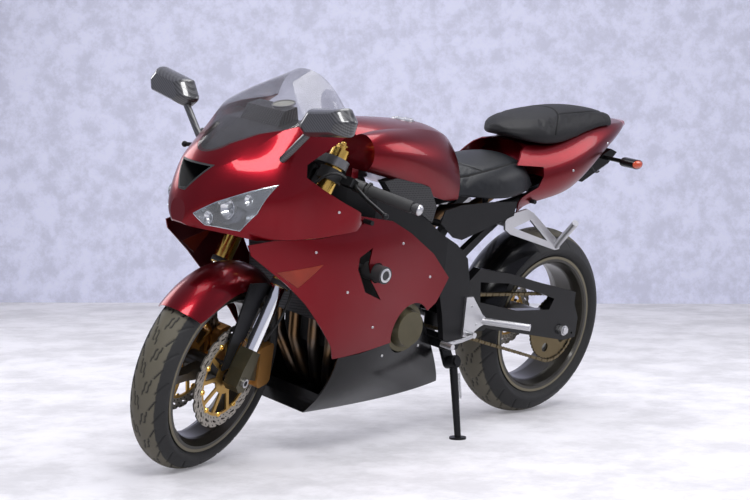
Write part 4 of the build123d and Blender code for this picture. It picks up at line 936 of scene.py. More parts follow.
class Machine:
    """The machine's own frames, upright and steered straight ahead, in millimetres."""

    trail_foot: float = 1496.0
    rear_radius: float = 315.0
    pitch: float = math.radians(0.19594)
    steer: float = math.radians(17.17)
    rake: float = math.radians(25.0)

    def __init__(self) -> None:
        """Reads the joints and works out where the upright machine stands."""
        self.joints = {joint["name"]: joint for joint in frame["joints"]}
        left = Vector(self.joints["rear_wheel_spin"]["axis"]).normalized()
        ahead = Vector((math.cos(self.pitch), 0.0, -math.sin(self.pitch)))
        ahead = (ahead - left * ahead.dot(left)).normalized()
        turn = Matrix((ahead, left, ahead.cross(left))).transposed().to_4x4()
        drop = self.axle("rear_wheel_spin") - turn.to_3x3() @ Vector((0.0, 0.0, self.rear_radius / 1000))
        self.place = Matrix.Translation(drop) @ turn @ Matrix.Scale(0.001, 4)
        pivot = Vector(self.joints["steering"]["pos_m"])
        axis = Vector(self.joints["steering"]["axis"]).normalized()
        swing = Matrix.Translation(pivot) @ Matrix.Rotation(self.steer, 4, axis) @ Matrix.Translation(-pivot)
        fork = Matrix.Translation((self.trail_foot, 0.0, 0.0)) @ Matrix.Rotation(-self.rake, 4, "Y")
        self.steered_place = swing @ self.place
        self.fork_place = self.steered_place @ fork

    def axle(self, joint: str) -> Vector:
        """A joint's place, in metres."""
        return Vector(self.joints[joint]["pos_m"])

    def wheel_axes(self, joint: str) -> tuple[Triple, ...]:
        """Three axes for a wheel's pattern: along its axle, forward and up.

        Args:
            joint: the wheel's joint.

        Returns:
            The three unit axes.
        """
        along = Vector(self.joints[joint]["axis"]).normalized()
        ahead = along.cross(Vector((0.0, 0.0, 1.0))).normalized()
        return tuple(tuple(axis) for axis in (along, ahead, ahead.cross(along)))

    def at(self, x: float, y: float, z: float) -> Vector:
        """A point of the upright machine, in the scene."""
        return self.place @ Vector((x, y, z))

    def on_fork(self, forward: float, left: float, height: float) -> Vector:
        """A point given in the steering's own frame, in the scene."""
        return self.fork_place @ Vector((forward, left, height))


class Surface:
    """A CAD node's surface, for setting small pieces down on it."""

    def __init__(self, node: str) -> None:
        """Reads the node's triangles.

        Args:
            node: the node's name.
        """
        self.tree = BVHTree.FromPolygons(
            [v.co.copy() for v in frame["nodes"][node].data.vertices],
            [tuple(p.vertices) for p in frame["nodes"][node].data.polygons],
        )

    def meet(self, start: Vector, aim: Vector) -> tuple[Vector, Vector] | None:
        """Where a line first meets the surface.

        Args:
            start: where the line starts.
            aim: its direction.

        Returns:
            The point and the outward normal, or None.
        """
        spot, normal, _, _ = self.tree.ray_cast(start, aim.normalized())
        if spot is None:
            return None
        return spot, (-normal if normal.dot(aim) > 0 else normal)


def extrude_face(shape: bmesh.types.BMesh, face: bmesh.types.BMFace, step: Vector) -> None:
    """Extrudes one face along a step.

    Args:
        shape: the bmesh.
        face: the face, which stays as the other end.
        step: from the face to its copy.
    """
    moved = bmesh.ops.extrude_face_region(shape, geom=[face])
    ends = [part for part in moved["geom"] if isinstance(part, bmesh.types.BMVert)]
    bmesh.ops.translate(shape, verts=ends, vec=step)


def face_up(spot: Vector, normal: Vector) -> Matrix:
    """A frame at a point whose third axis is the normal.

    Args:
        spot: the frame's origin.
        normal: the direction of its third axis.

    Returns:
        The matrix.
    """
    return Matrix.Translation(spot) @ normal.to_track_quat("Z", "Y").to_matrix().to_4x4()


def add_screw(shape: bmesh.types.BMesh, place: Matrix, radius: float, height: float) -> None:
    """Adds one socket screw to a bmesh.

    Args:
        shape: the bmesh.
        place: the screw's foot, pointing out.
        radius: of its head.
        height: of its head.
    """
    made = bmesh.ops.create_cone(shape, cap_ends=True, segments=18, radius1=radius, radius2=radius * 0.86,
                                 depth=height, matrix=place @ Matrix.Translation((0.0, 0.0, height / 2)))
    top = max((f for v in made["verts"] for f in v.link_faces if len(f.verts) > 4),
              key=lambda f: (place.inverted() @ f.calc_center_median()).z)
    bmesh.ops.inset_region(shape, faces=[top], thickness=radius * 0.42)
    moved = bmesh.ops.extrude_face_region(shape, geom=[top])
    bmesh.ops.delete(shape, geom=[top], context="FACES")
    deep = [v for v in moved["geom"] if isinstance(v, bmesh.types.BMVert)]
    bmesh.ops.translate(shape, verts=deep, vec=(place.to_3x3() @ Vector((0.0, 0.0, -height * 0.6))))


def draw_tube(name: str, points: Sequence[Vector], radius: float, order: int = 4) -> bpy.types.Object:
    """Makes a smooth round tube through the neighbourhood of some points.

    Args:
        name: the piece's name.
        points: the control points, in metres.
        radius: the tube's radius.
        order: the spline's order.

    Returns:
        The mesh object.
    """
    curve = bpy.data.curves.new(name, "CURVE")
    curve.dimensions = "3D"
    curve.bevel_depth = radius
    curve.bevel_resolution = 3
    curve.resolution_u = 8
    curve.use_fill_caps = True
    spline = curve.splines.new("NURBS")
    spline.points.add(len(points) - 1)
    for control, point in zip(spline.points, points):
        control.co = (*point, 1.0)
    spline.order_u = min(order, len(points))
    spline.use_endpoint_u = True
    holder = bpy.data.objects.new(name + "_line", curve)
    bpy.context.scene.collection.objects.link(holder)
    bpy.context.view_layer.update()
    mesh = bpy.data.meshes.new_from_object(holder.evaluated_get(bpy.context.evaluated_depsgraph_get()))
    bpy.data.objects.remove(holder)
    bpy.data.curves.remove(curve)
    made = bpy.data.objects.new(name, mesh)
    mesh.materials.clear()
    for polygon in mesh.polygons:
        polygon.use_smooth = True
    bpy.context.scene.collection.objects.link(made)
    return made


def draw_plate(name: str, outline: Sequence[Pair], place: Matrix, thickness: float,
               bevel: float = 0.6) -> bpy.types.Object:
    """Makes a plate with softened edges from a flat outline.

    Args:
        name: the piece's name.
        outline: its corners, in millimetres.
        place: from the outline's plane to the scene, with a scale of millimetres.
        thickness: along the third axis, in millimetres.
        bevel: the softened edge, in millimetres.

    Returns:
        The object.
    """
    shape = bmesh.new()
    face = shape.faces.new([shape.verts.new((x, y, 0.0)) for x, y in outline])
    extrude_face(shape, face, Vector((0.0, 0.0, thickness)))
    bmesh.ops.bevel(shape, geom=shape.edges[:], offset=bevel, segments=2, profile=0.5, affect="EDGES", material=-1)
    bmesh.ops.transform(shape, verts=shape.verts, matrix=place)
    bmesh.ops.recalc_face_normals(shape, faces=shape.faces)
    return finish_mesh(name, shape)


def draw_ring(name: str, place: Matrix, profile: Sequence[Pair], steps: int = 48) -> bpy.types.Object:
    """Spins a closed profile of (radius, height) points round the third axis.

    Args:
        name: the piece's name.
        place: the axis's frame.
        profile: the profile, in metres.
        steps: round the ring.

    Returns:
        The object.
    """
    shape = bmesh.new()
    verts = [shape.verts.new((r, 0.0, h)) for r, h in profile]
    edges = [shape.edges.new((verts[k], verts[(k + 1) % len(verts)])) for k in range(len(verts))]
    bmesh.ops.spin(shape, geom=verts + edges, cent=(0.0, 0.0, 0.0), axis=(0.0, 0.0, 1.0), angle=2 * math.pi,
                   steps=steps, use_merge=True)
    bmesh.ops.remove_doubles(shape, verts=shape.verts, dist=1e-6)
    bmesh.ops.transform(shape, verts=shape.verts, matrix=place)
    bmesh.ops.recalc_face_normals(shape, faces=shape.faces)
    made = finish_mesh(name, shape, True)
    made.data.set_sharp_from_angle(angle=math.radians(40))
    return made


class Fitter:
    """Puts finishes on pieces and sets them on their bodies."""

    def __init__(self, machine: Machine, finishes: Finishes) -> None:
        """Keeps what every sub-assembly needs.

        Args:
            machine: the machine's frames.
            finishes: the materials.
        """
        self.machine = machine
        self.finishes = finishes

    def fit(self, piece: bpy.types.Object, finish: str, body: Body) -> bpy.types.Object:
        """Dresses one piece and sets it on its body.

        Args:
            piece: the finished mesh.
            finish: the name of its finish.
            body: the body it rides on.

        Returns:
            The piece.
        """
        self.finishes.assign(piece, finish)
        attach(piece, body.value)
        log.info("%s rides on %s with finish %s", piece.name, body.value, finish)
        return piece


# Sub-assemblies

class Side(Enum):
    """Sides of the machine, as the sign of the distance to the left."""

    LEFT = 1
    RIGHT = -1


@dataclass
class Tyre:
    """One tyre with cut tread, spun round its axle."""

    fitter: Fitter
    node: str
    joint: str
    body: Body
    radius: float
    half_width: float
    crown: float
    bead: float
    repeats: int
    bead_radius: float = 0.2173
    lip: float = 0.233
    depth: float = 0.0034
    cut_width: float = 0.0024
    bulge: float = 0.0042
    ridge: float = 0.0007
    cuts: tuple[tuple[Pair, Pair], ...] = (
        ((0.10, 0.06), (0.50, 0.16)), ((0.18, 0.26), (0.58, 0.36)), ((0.66, 0.44), (0.96, 0.66)),
        ((0.20, 0.60), (0.60, 0.92)),
    )
    steps: int = 760

    def profile(self) -> list[Pair]:
        """Draws the outside line of the tyre from bead to bead.

        Returns:
            Points as (distance from the middle, radius), in metres.
        """
        edge = self.radius - self.crown + math.sqrt(self.crown ** 2 - self.half_width ** 2)
        reach = math.asin(self.half_width / self.crown)
        tread = [
            (self.crown * math.sin(a), self.radius - self.crown + self.crown * math.cos(a))
            for a in (reach * (k / 22 - 1) for k in range(45))
        ]
        wall = []
        for k in range(1, 9):
            share = k / 9
            bulge = self.bulge * math.sin(math.pi * share)
            ridge = self.ridge if k in (3, 6) else 0.0
            wall.append((self.half_width + (self.bead - self.half_width) * share + bulge + ridge,
                         edge + (self.lip - edge) * share))
        right = [(-x, r) for x, r in reversed(wall)]
        ends = (self.bead, self.lip - 0.001), (self.bead, self.bead_radius)
        return [(-x, r) for x, r in reversed(ends)] + right + tread + wall + list(ends)

    def groove(self, lateral: float, turn: float) -> float:
        """How deep the tread is cut at a point.

        Args:
            lateral: the distance from the middle, in metres.
            turn: the angle round the axle, in tread repeats.

        Returns:
            The depth as a share of the full depth.
        """
        period = 2 * math.pi * self.radius / self.repeats
        phase = (turn + (0.5 if lateral > 0 else 0.0)) % 1.0
        here = Vector((phase * period, abs(lateral)))
        best = 0.0
        for first, second in self.cuts:
            start = Vector((first[0] * period, first[1] * self.half_width))
            along = Vector((second[0] * period, second[1] * self.half_width)) - start
            for shift in (0.0, period):
                offset = here + Vector((shift, 0.0)) - start
                share = min(1.0, max(0.0, offset.dot(along) / along.length_squared))
                gap = (offset - along * share).length
                best = max(best, min(1.0, max(0.0, (self.cut_width - gap) / (self.cut_width * 0.4))))
        return best

    def build(self) -> None:
        """Spins the outside, cuts the tread and closes the tyre at the rim."""
        shape = bmesh.new()
        line = [shape.verts.new((x, 0.0, r)) for x, r in self.profile()]
        edges = [shape.edges.new(pair) for pair in zip(line, line[1:])]
        bmesh.ops.spin(shape, geom=line + edges, cent=(0.0, 0.0, 0.0), axis=(1.0, 0.0, 0.0),
                       angle=2 * math.pi, steps=self.steps, use_merge=True)
        bmesh.ops.remove_doubles(shape, verts=shape.verts, dist=1e-6)
        mark = shape.verts.layers.float.new("cut")
        dust = shape.verts.layers.float.new("dust")
        for vert in shape.verts:
            radius = math.hypot(vert.co.y, vert.co.z)
            turn = math.atan2(vert.co.z, vert.co.y) / (2 * math.pi) * self.repeats
            on_tread = radius > self.radius - 0.05
            # lighter middle of the tread: partly dust, partly painted sheen
            vert[dust] = min(1.0, max(0.0, 4.2 - 5.6 * abs(vert.co.x) / self.half_width)) * on_tread
            vert[mark] = self.groove(vert.co.x, turn) if on_tread else 0.0
            inward = 1 - vert[mark] * self.depth / radius
            vert.co.y *= inward
            vert.co.z *= inward
        axes = Matrix(self.fitter.machine.wheel_axes(self.joint)).transposed().to_4x4()
        place = Matrix.Translation(self.fitter.machine.axle(self.joint)) @ axes
        bmesh.ops.transform(shape, verts=shape.verts, matrix=place)
        bmesh.ops.recalc_face_normals(shape, faces=shape.faces)
        tyre = finish_mesh(self.node + "_rubber", shape, True)
        self.fitter.fit(tyre, "tyre_rubber", self.body)
        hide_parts(self.node)


@dataclass
class Seats:
    """The rider's seat and the pillion pad, stuffed and sewn."""

    fitter: Fitter
    voxel: float = 0.005
    pressure: float = 4.0
    frames: int = 20
    rise: float = 0.006
    shrink: float = 0.0025
    seam_depth: float = 0.0024
    seam_width: float = 4.2
    no_seam: float = 99.0
    side_seam_foot: float = 800.0
    cross_seam: float = 500.0
    pillion_seam: float = 52.0

    def build(self) -> None:
        """Builds both pads."""
        for name, node, finish, seams in (
            ("rider_seat_cover", "rider_seat", "seat_vinyl", self.rider_seams),
            ("pillion_seat_cover", "pillion_seat", "pillion_vinyl", self.pillion_seams),
        ):
            cover = self.stuff(name, node)
            self.sew(cover, seams)
            self.fitter.fit(cover, finish, Body.CHASSIS)
            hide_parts(node)

    def rider_seams(self, x: float, y: float, z: float) -> float:
        """Measures how far a point is from the nearest seam of the rider's seat.

        Args:
            x: forward of the rear axle, in millimetres.
            y: left of the middle.
            z: above the ground of the upright machine.

        Returns:
            The distance, in millimetres.
        """
        width = 62 + 52 * math.sin(math.pi * min(1.0, max(0.0, (x - 190) / 420)))
        side = abs(abs(y) - width)
        front = abs(x - self.cross_seam + y * y * 0.004) if abs(y) < width else self.no_seam
        return min(side if z > self.side_seam_foot else self.no_seam, front)

    def pillion_seams(self, x: float, y: float, z: float) -> float:
        """Measures how far a point is from the nearest seam of the pillion pad.

        Args:
            x: forward of the rear axle, in millimetres.
            y: left of the middle.
            z: above the ground of the upright machine.

        Returns:
            The distance, in millimetres.
        """
        width = 92 - 0.0011 * x ** 2 * (1.0 if x < 0 else 0.55)
        ahead = x - self.pillion_seam - y * y * 0.006
        side = abs(abs(y) - width * 0.86)
        return min(abs(ahead), side if ahead < 0 else self.no_seam)

    def settle(self, piece: bpy.types.Object) -> None:
        """Applies a piece's modifiers.

        Args:
            piece: the object, whose mesh is exchanged.
        """
        graph = bpy.context.evaluated_depsgraph_get()
        mesh = bpy.data.meshes.new_from_object(piece.evaluated_get(graph))
        piece.modifiers.clear()
        piece.data = mesh

    def stuff(self, name: str, node: str) -> bpy.types.Object:
        """Makes a pad from a node's shape and lets pressure fill it.

        Args:
            name: the new piece's name.
            node: the CAD node it starts from.

        Returns:
            The pad.
        """
        shape = bmesh.new()
        shape.from_mesh(frame["nodes"][node].data)
        bmesh.ops.remove_doubles(shape, verts=shape.verts, dist=1e-5)
        pad = finish_mesh(name, shape, True)
        remesh = pad.modifiers.new("even_faces", "REMESH")
        remesh.mode = "VOXEL"
        remesh.voxel_size = self.voxel
        self.settle(pad)
        self.soften(pad)
        self.inflate(pad)
        finer = pad.modifiers.new("finer", "SUBSURF")
        finer.levels = 1
        finer.render_levels = 1
        self.settle(pad)
        for polygon in pad.data.polygons:
            polygon.use_smooth = True
        return pad

    def soften(self, pad: bpy.types.Object) -> None:
        """Rounds the pad's edges and draws its skin in.

        Args:
            pad: the pad.
        """
        shape = bmesh.new()
        shape.from_mesh(pad.data)
        for _ in range(6):
            bmesh.ops.smooth_vert(shape, verts=shape.verts, factor=0.5, use_axis_x=True, use_axis_y=True,
                                  use_axis_z=True)
        shape.normal_update()
        for vert, normal in [(v, v.normal.copy()) for v in shape.verts]:
            vert.co -= normal * self.shrink
        shape.to_mesh(pad.data)
        shape.free()

    def inflate(self, pad: bpy.types.Object) -> None:
        """Runs the cloth simulation and keeps the rise of the upper skin.

        Args:
            pad: the pad.
        """
        rest = [(v.co.copy(), v.normal.z) for v in pad.data.vertices]
        cloth = pad.modifiers.new("stuffing", "CLOTH")
        cloth.settings.use_pressure = True
        cloth.settings.uniform_pressure_force = self.pressure
        cloth.settings.effector_weights.gravity = 0.0
        cloth.point_cache.frame_start = 1
        cloth.point_cache.frame_end = self.frames
        for step in range(1, self.frames + 1):
            bpy.context.scene.frame_set(step)
        self.settle(pad)
        for vert, (start, facing) in zip(pad.data.vertices, rest):
            move = vert.co - start
            limit = self.rise * min(1.0, max(0.0, facing * 2.0 + 0.3))
            if move.length > limit:
                vert.co = start + move.normalized() * limit
        bpy.context.scene.frame_set(1)

    def sew(self, pad: bpy.types.Object, seams: Callable[[float, float, float], float]) -> None:
        """Draws the skin in along the seams.

        Args:
            pad: the pad.
            seams: gives the distance to the nearest seam.
        """
        back = self.fitter.machine.place.inverted()
        upward = self.fitter.machine.place.to_3x3() @ Vector((0.0, 0.0, 1.0))
        closeness = []
        for vert, normal in [(v, v.normal.copy()) for v in pad.data.vertices]:
            near = math.exp(-(seams(*(back @ vert.co)) / self.seam_width) ** 2) if normal.dot(upward) > 0 else 0.0
            vert.co -= normal * self.seam_depth * near
            closeness.append(near)
        pad.data.attributes.new("seam", "FLOAT", "POINT").data.foreach_set("value", closeness)


@dataclass
class DriveChain:
    """Side plates, rollers and pins round both sprockets."""

    fitter: Fitter
    rear: Pair = (0.0, 315.0)
    front: Pair = (640.0, 424.0)
    rear_radius: float = 114.0
    front_radius: float = 44.0
    middle: float = 104.0
    pitch: float = 15.875
    eye: float = 5.5
    waist: float = 3.9
    plate_faces: Pair = (6.3, 4.6)
    plate_wall: float = 1.4
    roller: Pair = (4.6, 9.0)
    pin: Pair = (2.3, 15.9)

    def spot(self, run: float) -> tuple[Vector, float]:
        """A place on the chain's line.

        Args:
            run: the distance along the line, in millimetres.

        Returns:
            The point (forward, up) and the direction's angle.
        """
        rear, front = Vector(self.rear), Vector(self.front)
        gap = (front - rear).length
        slope = math.atan2(front.y - rear.y, front.x - rear.x)
        open_angle = math.acos((self.rear_radius - self.front_radius) / gap)
        straight = gap * math.sin(open_angle)
        front_arc = self.front_radius * 2 * open_angle
        upper, lower = slope + open_angle, slope - open_angle
        if run < straight:
            start = rear + Vector((math.cos(upper), math.sin(upper))) * self.rear_radius
            return start + Vector((math.sin(upper), -math.cos(upper))) * run, upper - math.pi / 2
        run -= straight
        if run < front_arc:
            angle = upper - run / self.front_radius
            return front + Vector((math.cos(angle), math.sin(angle))) * self.front_radius, angle - math.pi / 2
        run -= front_arc
        if run < straight:
            start = front + Vector((math.cos(lower), math.sin(lower))) * self.front_radius
            return start + Vector((math.sin(lower), -math.cos(lower))) * run, lower - math.pi / 2
        angle = lower - (run - straight) / self.rear_radius
        return rear + Vector((math.cos(angle), math.sin(angle))) * self.rear_radius, angle - math.pi / 2

    def length(self) -> float:
        """Adds up the chain's line.

        Returns:
            The length, in millimetres.
        """
        gap = (Vector(self.front) - Vector(self.rear)).length
        angle = math.acos((self.rear_radius - self.front_radius) / gap)
        return (2 * gap * math.sin(angle) + self.front_radius * 2 * angle
                + self.rear_radius * (2 * math.pi - 2 * angle))

    def plate(self, shape: bmesh.types.BMesh, place: Matrix, inner: float, outer: float) -> None:
        """Adds one side plate.

        Args:
            shape: the bmesh.
            place: the link's frame, with its run along the first axis.
            inner: the plate's near face.
            outer: the plate's far face.
        """
        half = self.pitch / 2
        outline = []
        for centre, start in ((half, -90), (-half, 90)):
            for k in range(6):
                angle = math.radians(start + 36 * k)
                outline.append((centre + self.eye * math.cos(angle), self.eye * math.sin(angle)))
            outline.append((0.0, self.waist if centre > 0 else -self.waist))
        face = shape.faces.new([shape.verts.new(place @ Vector((x, inner, z))) for x, z in outline])
        extrude_face(shape, face, place.to_3x3() @ Vector((0.0, outer - inner, 0.0)))

    def build(self) -> None:
        """Lays the links round the line."""
        total = self.length()
        links = 2 * round(total / self.pitch / 2)
        plates, pins = bmesh.new(), bmesh.new()
        for k in range(links):
            (x, z), angle = self.spot(total * k / links)
            place = self.fitter.machine.place @ Matrix.Translation((x, self.middle, z)) @ Matrix.Rotation(
                -angle, 4, "Y")
            for side in (s.value for s in Side):
                near = self.plate_faces[k % 2] * side
                self.plate(plates, place @ Matrix.Translation((self.pitch / 2, 0.0, 0.0)), near,
                           near + self.plate_wall * side)
            flat = place @ Matrix.Rotation(math.radians(90), 4, "X")
            for segments, radius, width in ((10, *self.roller), (8, *self.pin)):
                bmesh.ops.create_cone(pins, cap_ends=True, segments=segments, radius1=radius, radius2=radius,
                                      depth=width, matrix=flat)
        for shape in (plates, pins):
            bmesh.ops.recalc_face_normals(shape, faces=shape.faces)
        side_plates = finish_mesh("chain_plates", plates)
        rollers = finish_mesh("chain_rollers", pins)
        self.fitter.fit(side_plates, "chain_bronze", Body.CHASSIS)
        self.fitter.fit(rollers, "chain_steel", Body.CHASSIS)
        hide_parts("chain")
        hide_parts("chain")


@dataclass
class Headlamps:
    """Clear lenses with reflector bowls and projectors in a dark housing."""

    fitter: Fitter
    bowls: tuple[tuple[float, ...], ...] = (
        (112.0, 764.0, 27.0, 30.0), (76.0, 734.0, 17.0, 20.0), (150.0, 792.0, 15.0, 16.0),
    )
    start: float = 1620.0
    lens_wall: float = 0.002
    front_facing: float = 0.12
    recess: float = 0.010
    ball: Pair = (0.42, 0.35)

    def shell(self, name: str, keep_front: bool) -> bpy.types.Object:
        """Takes the front or the back faces of the lamp's solid.

        Args:
            name: the piece's name.
            keep_front: whether the front faces are kept.

        Returns:
            The shell.
        """
        ahead = (self.fitter.machine.place.to_3x3() @ Vector((1.0, 0.0, 0.0))).normalized()
        shape = bmesh.new()
        shape.from_mesh(frame["nodes"]["headlights"].data)
        bmesh.ops.remove_doubles(shape, verts=shape.verts, dist=1e-5)
        shape.normal_update()
        wrong = [f for f in shape.faces if (f.normal.dot(ahead) > self.front_facing) != keep_front]
        bmesh.ops.delete(shape, geom=wrong, context="FACES")
        made = finish_mesh(name, shape, keep_front)
        wall = made.modifiers.new("wall", "SOLIDIFY")
        wall.thickness = self.lens_wall
        wall.offset = -1.0
        return made

    def build(self) -> None:
        """Builds both lamps."""
        lens = self.shell("headlight_lenses", True)
        housing = self.shell("headlight_housings", False)
        self.fitter.fit(lens, "clear_lens", Body.CHASSIS)
        self.fitter.fit(housing, "lamp_silver", Body.CHASSIS)
        for piece in (lens, housing):
            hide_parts("headlights")
        surface = Surface("headlights")
        machine = self.fitter.machine
        ahead = (machine.place.to_3x3() @ Vector((1.0, 0.0, 0.0))).normalized()
        number = 0
        for side in Side:
            for left, height, radius, depth in self.bowls:
                number += 1
                hit = surface.meet(machine.at(self.start, left * side.value, height), -ahead)
                if hit is None:
                    log.warning("no lens in front of bowl %d", number)
                    continue
                mouth = hit[0] - ahead * self.recess
                place = face_up(mouth - ahead * depth / 1000, ahead)
                rim, deep = radius / 1000, depth / 1000
                inside = [(rim * math.sqrt(k / 8), deep * k / 8) for k in range(1, 9)]
                outside = [(r + 0.0012, h) for r, h in reversed(inside)]
                bowl = draw_ring(f"headlight_bowl_{number}", place, inside + outside, 36)
                self.fitter.fit(bowl, "chrome", Body.CHASSIS)
                ball = bmesh.new()
                bmesh.ops.create_uvsphere(ball, u_segments=24, v_segments=12, radius=rim * self.ball[0],
                                          matrix=place @ Matrix.Translation((0.0, 0.0, deep * self.ball[1])))
                lamp = finish_mesh(f"headlight_projector_{number}", ball, True)
                self.fitter.fit(lamp, "lamp_glass", Body.CHASSIS)


@dataclass
class SteeringDetails:
    """Hoses, fork caps, bar ends and pinch screws that turn with the steering."""

    fitter: Fitter
    fork_offset: float = 28.2
    fork_spacing: float = 102.0
    hose_radius: float = 0.0038
    tube_top: float = 1022.0
    tube_foot: float = 592.0
    bar_height: float = 934.0
    bar_root: float = 24.2
    bar_tip: Pair = (-18.0, 360.0)
    bar_weight: float = 0.012
    pinched: tuple[tuple[str, float], ...] = (
        ("steering_clamps", 750), ("steering_clamps", 972), ("clip_on_bars", 925), ("clip_on_bars", 943),
    )

    def build(self) -> None:
        """Builds every piece on the steering."""
        machine = self.fitter.machine
        axis = (machine.on_fork(0.0, 0.0, 1000.0) - machine.on_fork(0.0, 0.0, 0.0)).normalized()
        runs = {
            "left_brake_hose": [(-58, 84, 440), (-52, 96, 476), (-26, 122, 520), (-14, 124, 600), (-10, 100, 690),
                                (-6, 78, 742)],
            "right_brake_hose": [(-58, -84, 440), (-52, -96, 476), (-26, -122, 520), (-14, -124, 600),
                                 (-10, -100, 690), (-6, -78, 742)],
            "master_cylinder_hose": [(52, -166, 936), (84, -140, 940), (86, -100, 900), (62, -60, 830),
                                     (34, -44, 764)],
            "clutch_cable": [(52, 166, 936), (80, 140, 944), (84, 100, 906), (60, 62, 832), (32, 46, 764)],
        }
        for name, points in runs.items():
            tube = draw_tube(name, [machine.on_fork(*point) for point in points], self.hose_radius)
            self.fitter.fit(tube, "rubber", Body.STEERING)
        for side in Side:
            name = side.name.lower()
            top = machine.on_fork(self.fork_offset, self.fork_spacing * side.value, self.tube_top)
            cap = draw_ring(f"{name}_fork_cap", face_up(top, axis), [
                (0.0001, 0.0), (0.0165, 0.0), (0.0165, 0.004), (0.0135, 0.0062), (0.0085, 0.0062), (0.0085, 0.0115),
                (0.0068, 0.0130), (0.0001, 0.0130),
            ])
            self.fitter.fit(cap, "gold_anodised", Body.STEERING)
            foot = machine.on_fork(self.fork_offset, self.fork_spacing * side.value, self.tube_foot)
            ring = draw_ring(f"{name}_tube_band", face_up(foot, axis), [
                (0.0272, 0.0), (0.0286, 0.002), (0.0286, 0.014), (0.0272, 0.016)])
            self.fitter.fit(ring, "black_moulding", Body.STEERING)
            inner = machine.on_fork(self.bar_root, self.fork_spacing * side.value, self.bar_height)
            tip = machine.on_fork(self.bar_tip[0], self.bar_tip[1] * side.value, self.bar_height)
            aim = (tip - inner).normalized()
            weight = draw_ring(f"{name}_bar_end", face_up(tip + aim * self.bar_weight, aim), [
                (0.0001, 0.0), (0.0155, 0.0), (0.0160, 0.0020), (0.0150, 0.0060), (0.0110, 0.0100), (0.0055, 0.0118),
                (0.0050, 0.0080), (0.0001, 0.0080),
            ])
            self.fitter.fit(weight, "cast_alloy", Body.STEERING)
        shape = bmesh.new()
        for side in Side:
            left = self.fork_spacing * side.value
            for node, height in self.pinched:
                outward = machine.on_fork(-40.0, left, height) - machine.on_fork(0.0, left, height)
                start = machine.on_fork(-90.0, left + 6 * side.value, height)
                hit = Surface(node).meet(start, -outward)
                if hit:
                    add_screw(shape, face_up(*hit), 0.0048, 0.004)
        screws = finish_mesh("pinch_screws", shape)
        self.fitter.fit(screws, "machined_steel", Body.STEERING)


@dataclass
class DiscBobbins:
    """Floating bobbins between the front discs' carriers and their rings."""

    fitter: Fitter
    radius: float = 0.1125
    count: int = 10

    def build(self) -> None:
        """Sets bobbins on both discs."""
        centre = self.fitter.machine.axle("front_wheel_spin")
        along, ahead, up = (Vector(axis) for axis in self.fitter.machine.wheel_axes("front_wheel_spin"))
        surface = Surface("front_discs")
        shape = bmesh.new()
        for side in (s.value for s in Side):
            for k in range(self.count):
                angle = 2 * math.pi * (k + 0.5) / self.count
                spot = centre + (ahead * math.cos(angle) + up * math.sin(angle)) * self.radius
                hit = surface.meet(spot + along * 0.12 * side, -along * side)
                if hit:
                    add_screw(shape, face_up(*hit), 0.0085, 0.0024)
        if shape.verts:
            self.fitter.fit(finish_mesh("disc_bobbins", shape), "gold_anodised", Body.FRONT_WHEEL)


@dataclass
class PanelScrews:
    """Screws that hold the panels, covers and caps."""

    fitter: Fitter
    spots: tuple[tuple[str, str, tuple[Pair, ...]], ...] = (
        ("side_fairings", "fairing", ((1240, 660), (1390, 700), (900, 668), (760, 560), (1120, 545), (985, 430),
                                      (690, 480), (840, 420))),
        ("belly_pan", "pan", ((1130, 330), (900, 330), (700, 330))),
        ("tail_cowl", "tail", ((240, 800), (60, 850), (-160, 930))),
        ("upper_cowl", "cowl", ((1180, 770), (1250, 890))),
        ("knee_panels", "knee", ((700, 700), (560, 720))),
        ("generator_cover", "case", ((712, 500), (660, 500), (640, 450), (660, 400), (712, 400), (735, 450))),
        ("rearsets", "bracket", ((470, 380), (500, 440))),
    )

    def build(self) -> None:
        """Sets the screws down on the panels from both sides."""
        machine = self.fitter.machine
        for node, name, points in self.spots:
            surface = Surface(node)
            shape = bmesh.new()
            for side in (s.value for s in Side):
                for x, z in points:
                    inward = machine.at(x, 0.0, z) - machine.at(x, 100.0 * side, z)
                    hit = surface.meet(machine.at(x, 420.0 * side, z), inward)
                    if hit:
                        add_screw(shape, face_up(*hit), 0.0042, 0.0022)
            if not shape.verts:
                shape.free()
                log.warning("no place for the screws of %s", node)
                continue
            self.fitter.fit(finish_mesh(f"{name}_screws", shape), "cast_alloy", Body.CHASSIS)


@dataclass
class StandSpring:
    """Coil spring along the side stand's leg."""

    fitter: Fitter
    pivot: Triple = (534.0, 158.0, 263.0)
    foot: Triple = (550.0, 230.0, 46.0)
    coils: int = 18
    coil_radius: float = 6.5
    aside: float = -19.0
    wound: Pair = (0.16, 0.50)

    def build(self) -> None:
        """Winds the spring with its two straight ends."""
        start, end = Vector(self.pivot), Vector(self.foot)
        along = (end - start).normalized()
        aside = Vector((1.0, 0.0, 0.0)) * self.aside
        across = along.cross(Vector((1.0, 0.0, 0.0))).normalized()
        outward = across.cross(along).normalized()
        first, last = self.wound
        points = [start + (end - start) * 0.10 + aside * 0.4]
        for k in range(self.coils * 8 + 1):
            turn = 2 * math.pi * k / 8
            share = first + (last - first) * k / (self.coils * 8)
            points.append(start + (end - start) * share + aside
                          + (across * math.cos(turn) + outward * math.sin(turn)) * self.coil_radius)
        points.append(start + (end - start) * 0.60 + aside * 0.3)
        spring = draw_tube("stand_spring", [self.fitter.machine.place @ p for p in points], 0.0016, 3)
        self.fitter.fit(spring, "machined_steel", Body.SIDE_STAND)


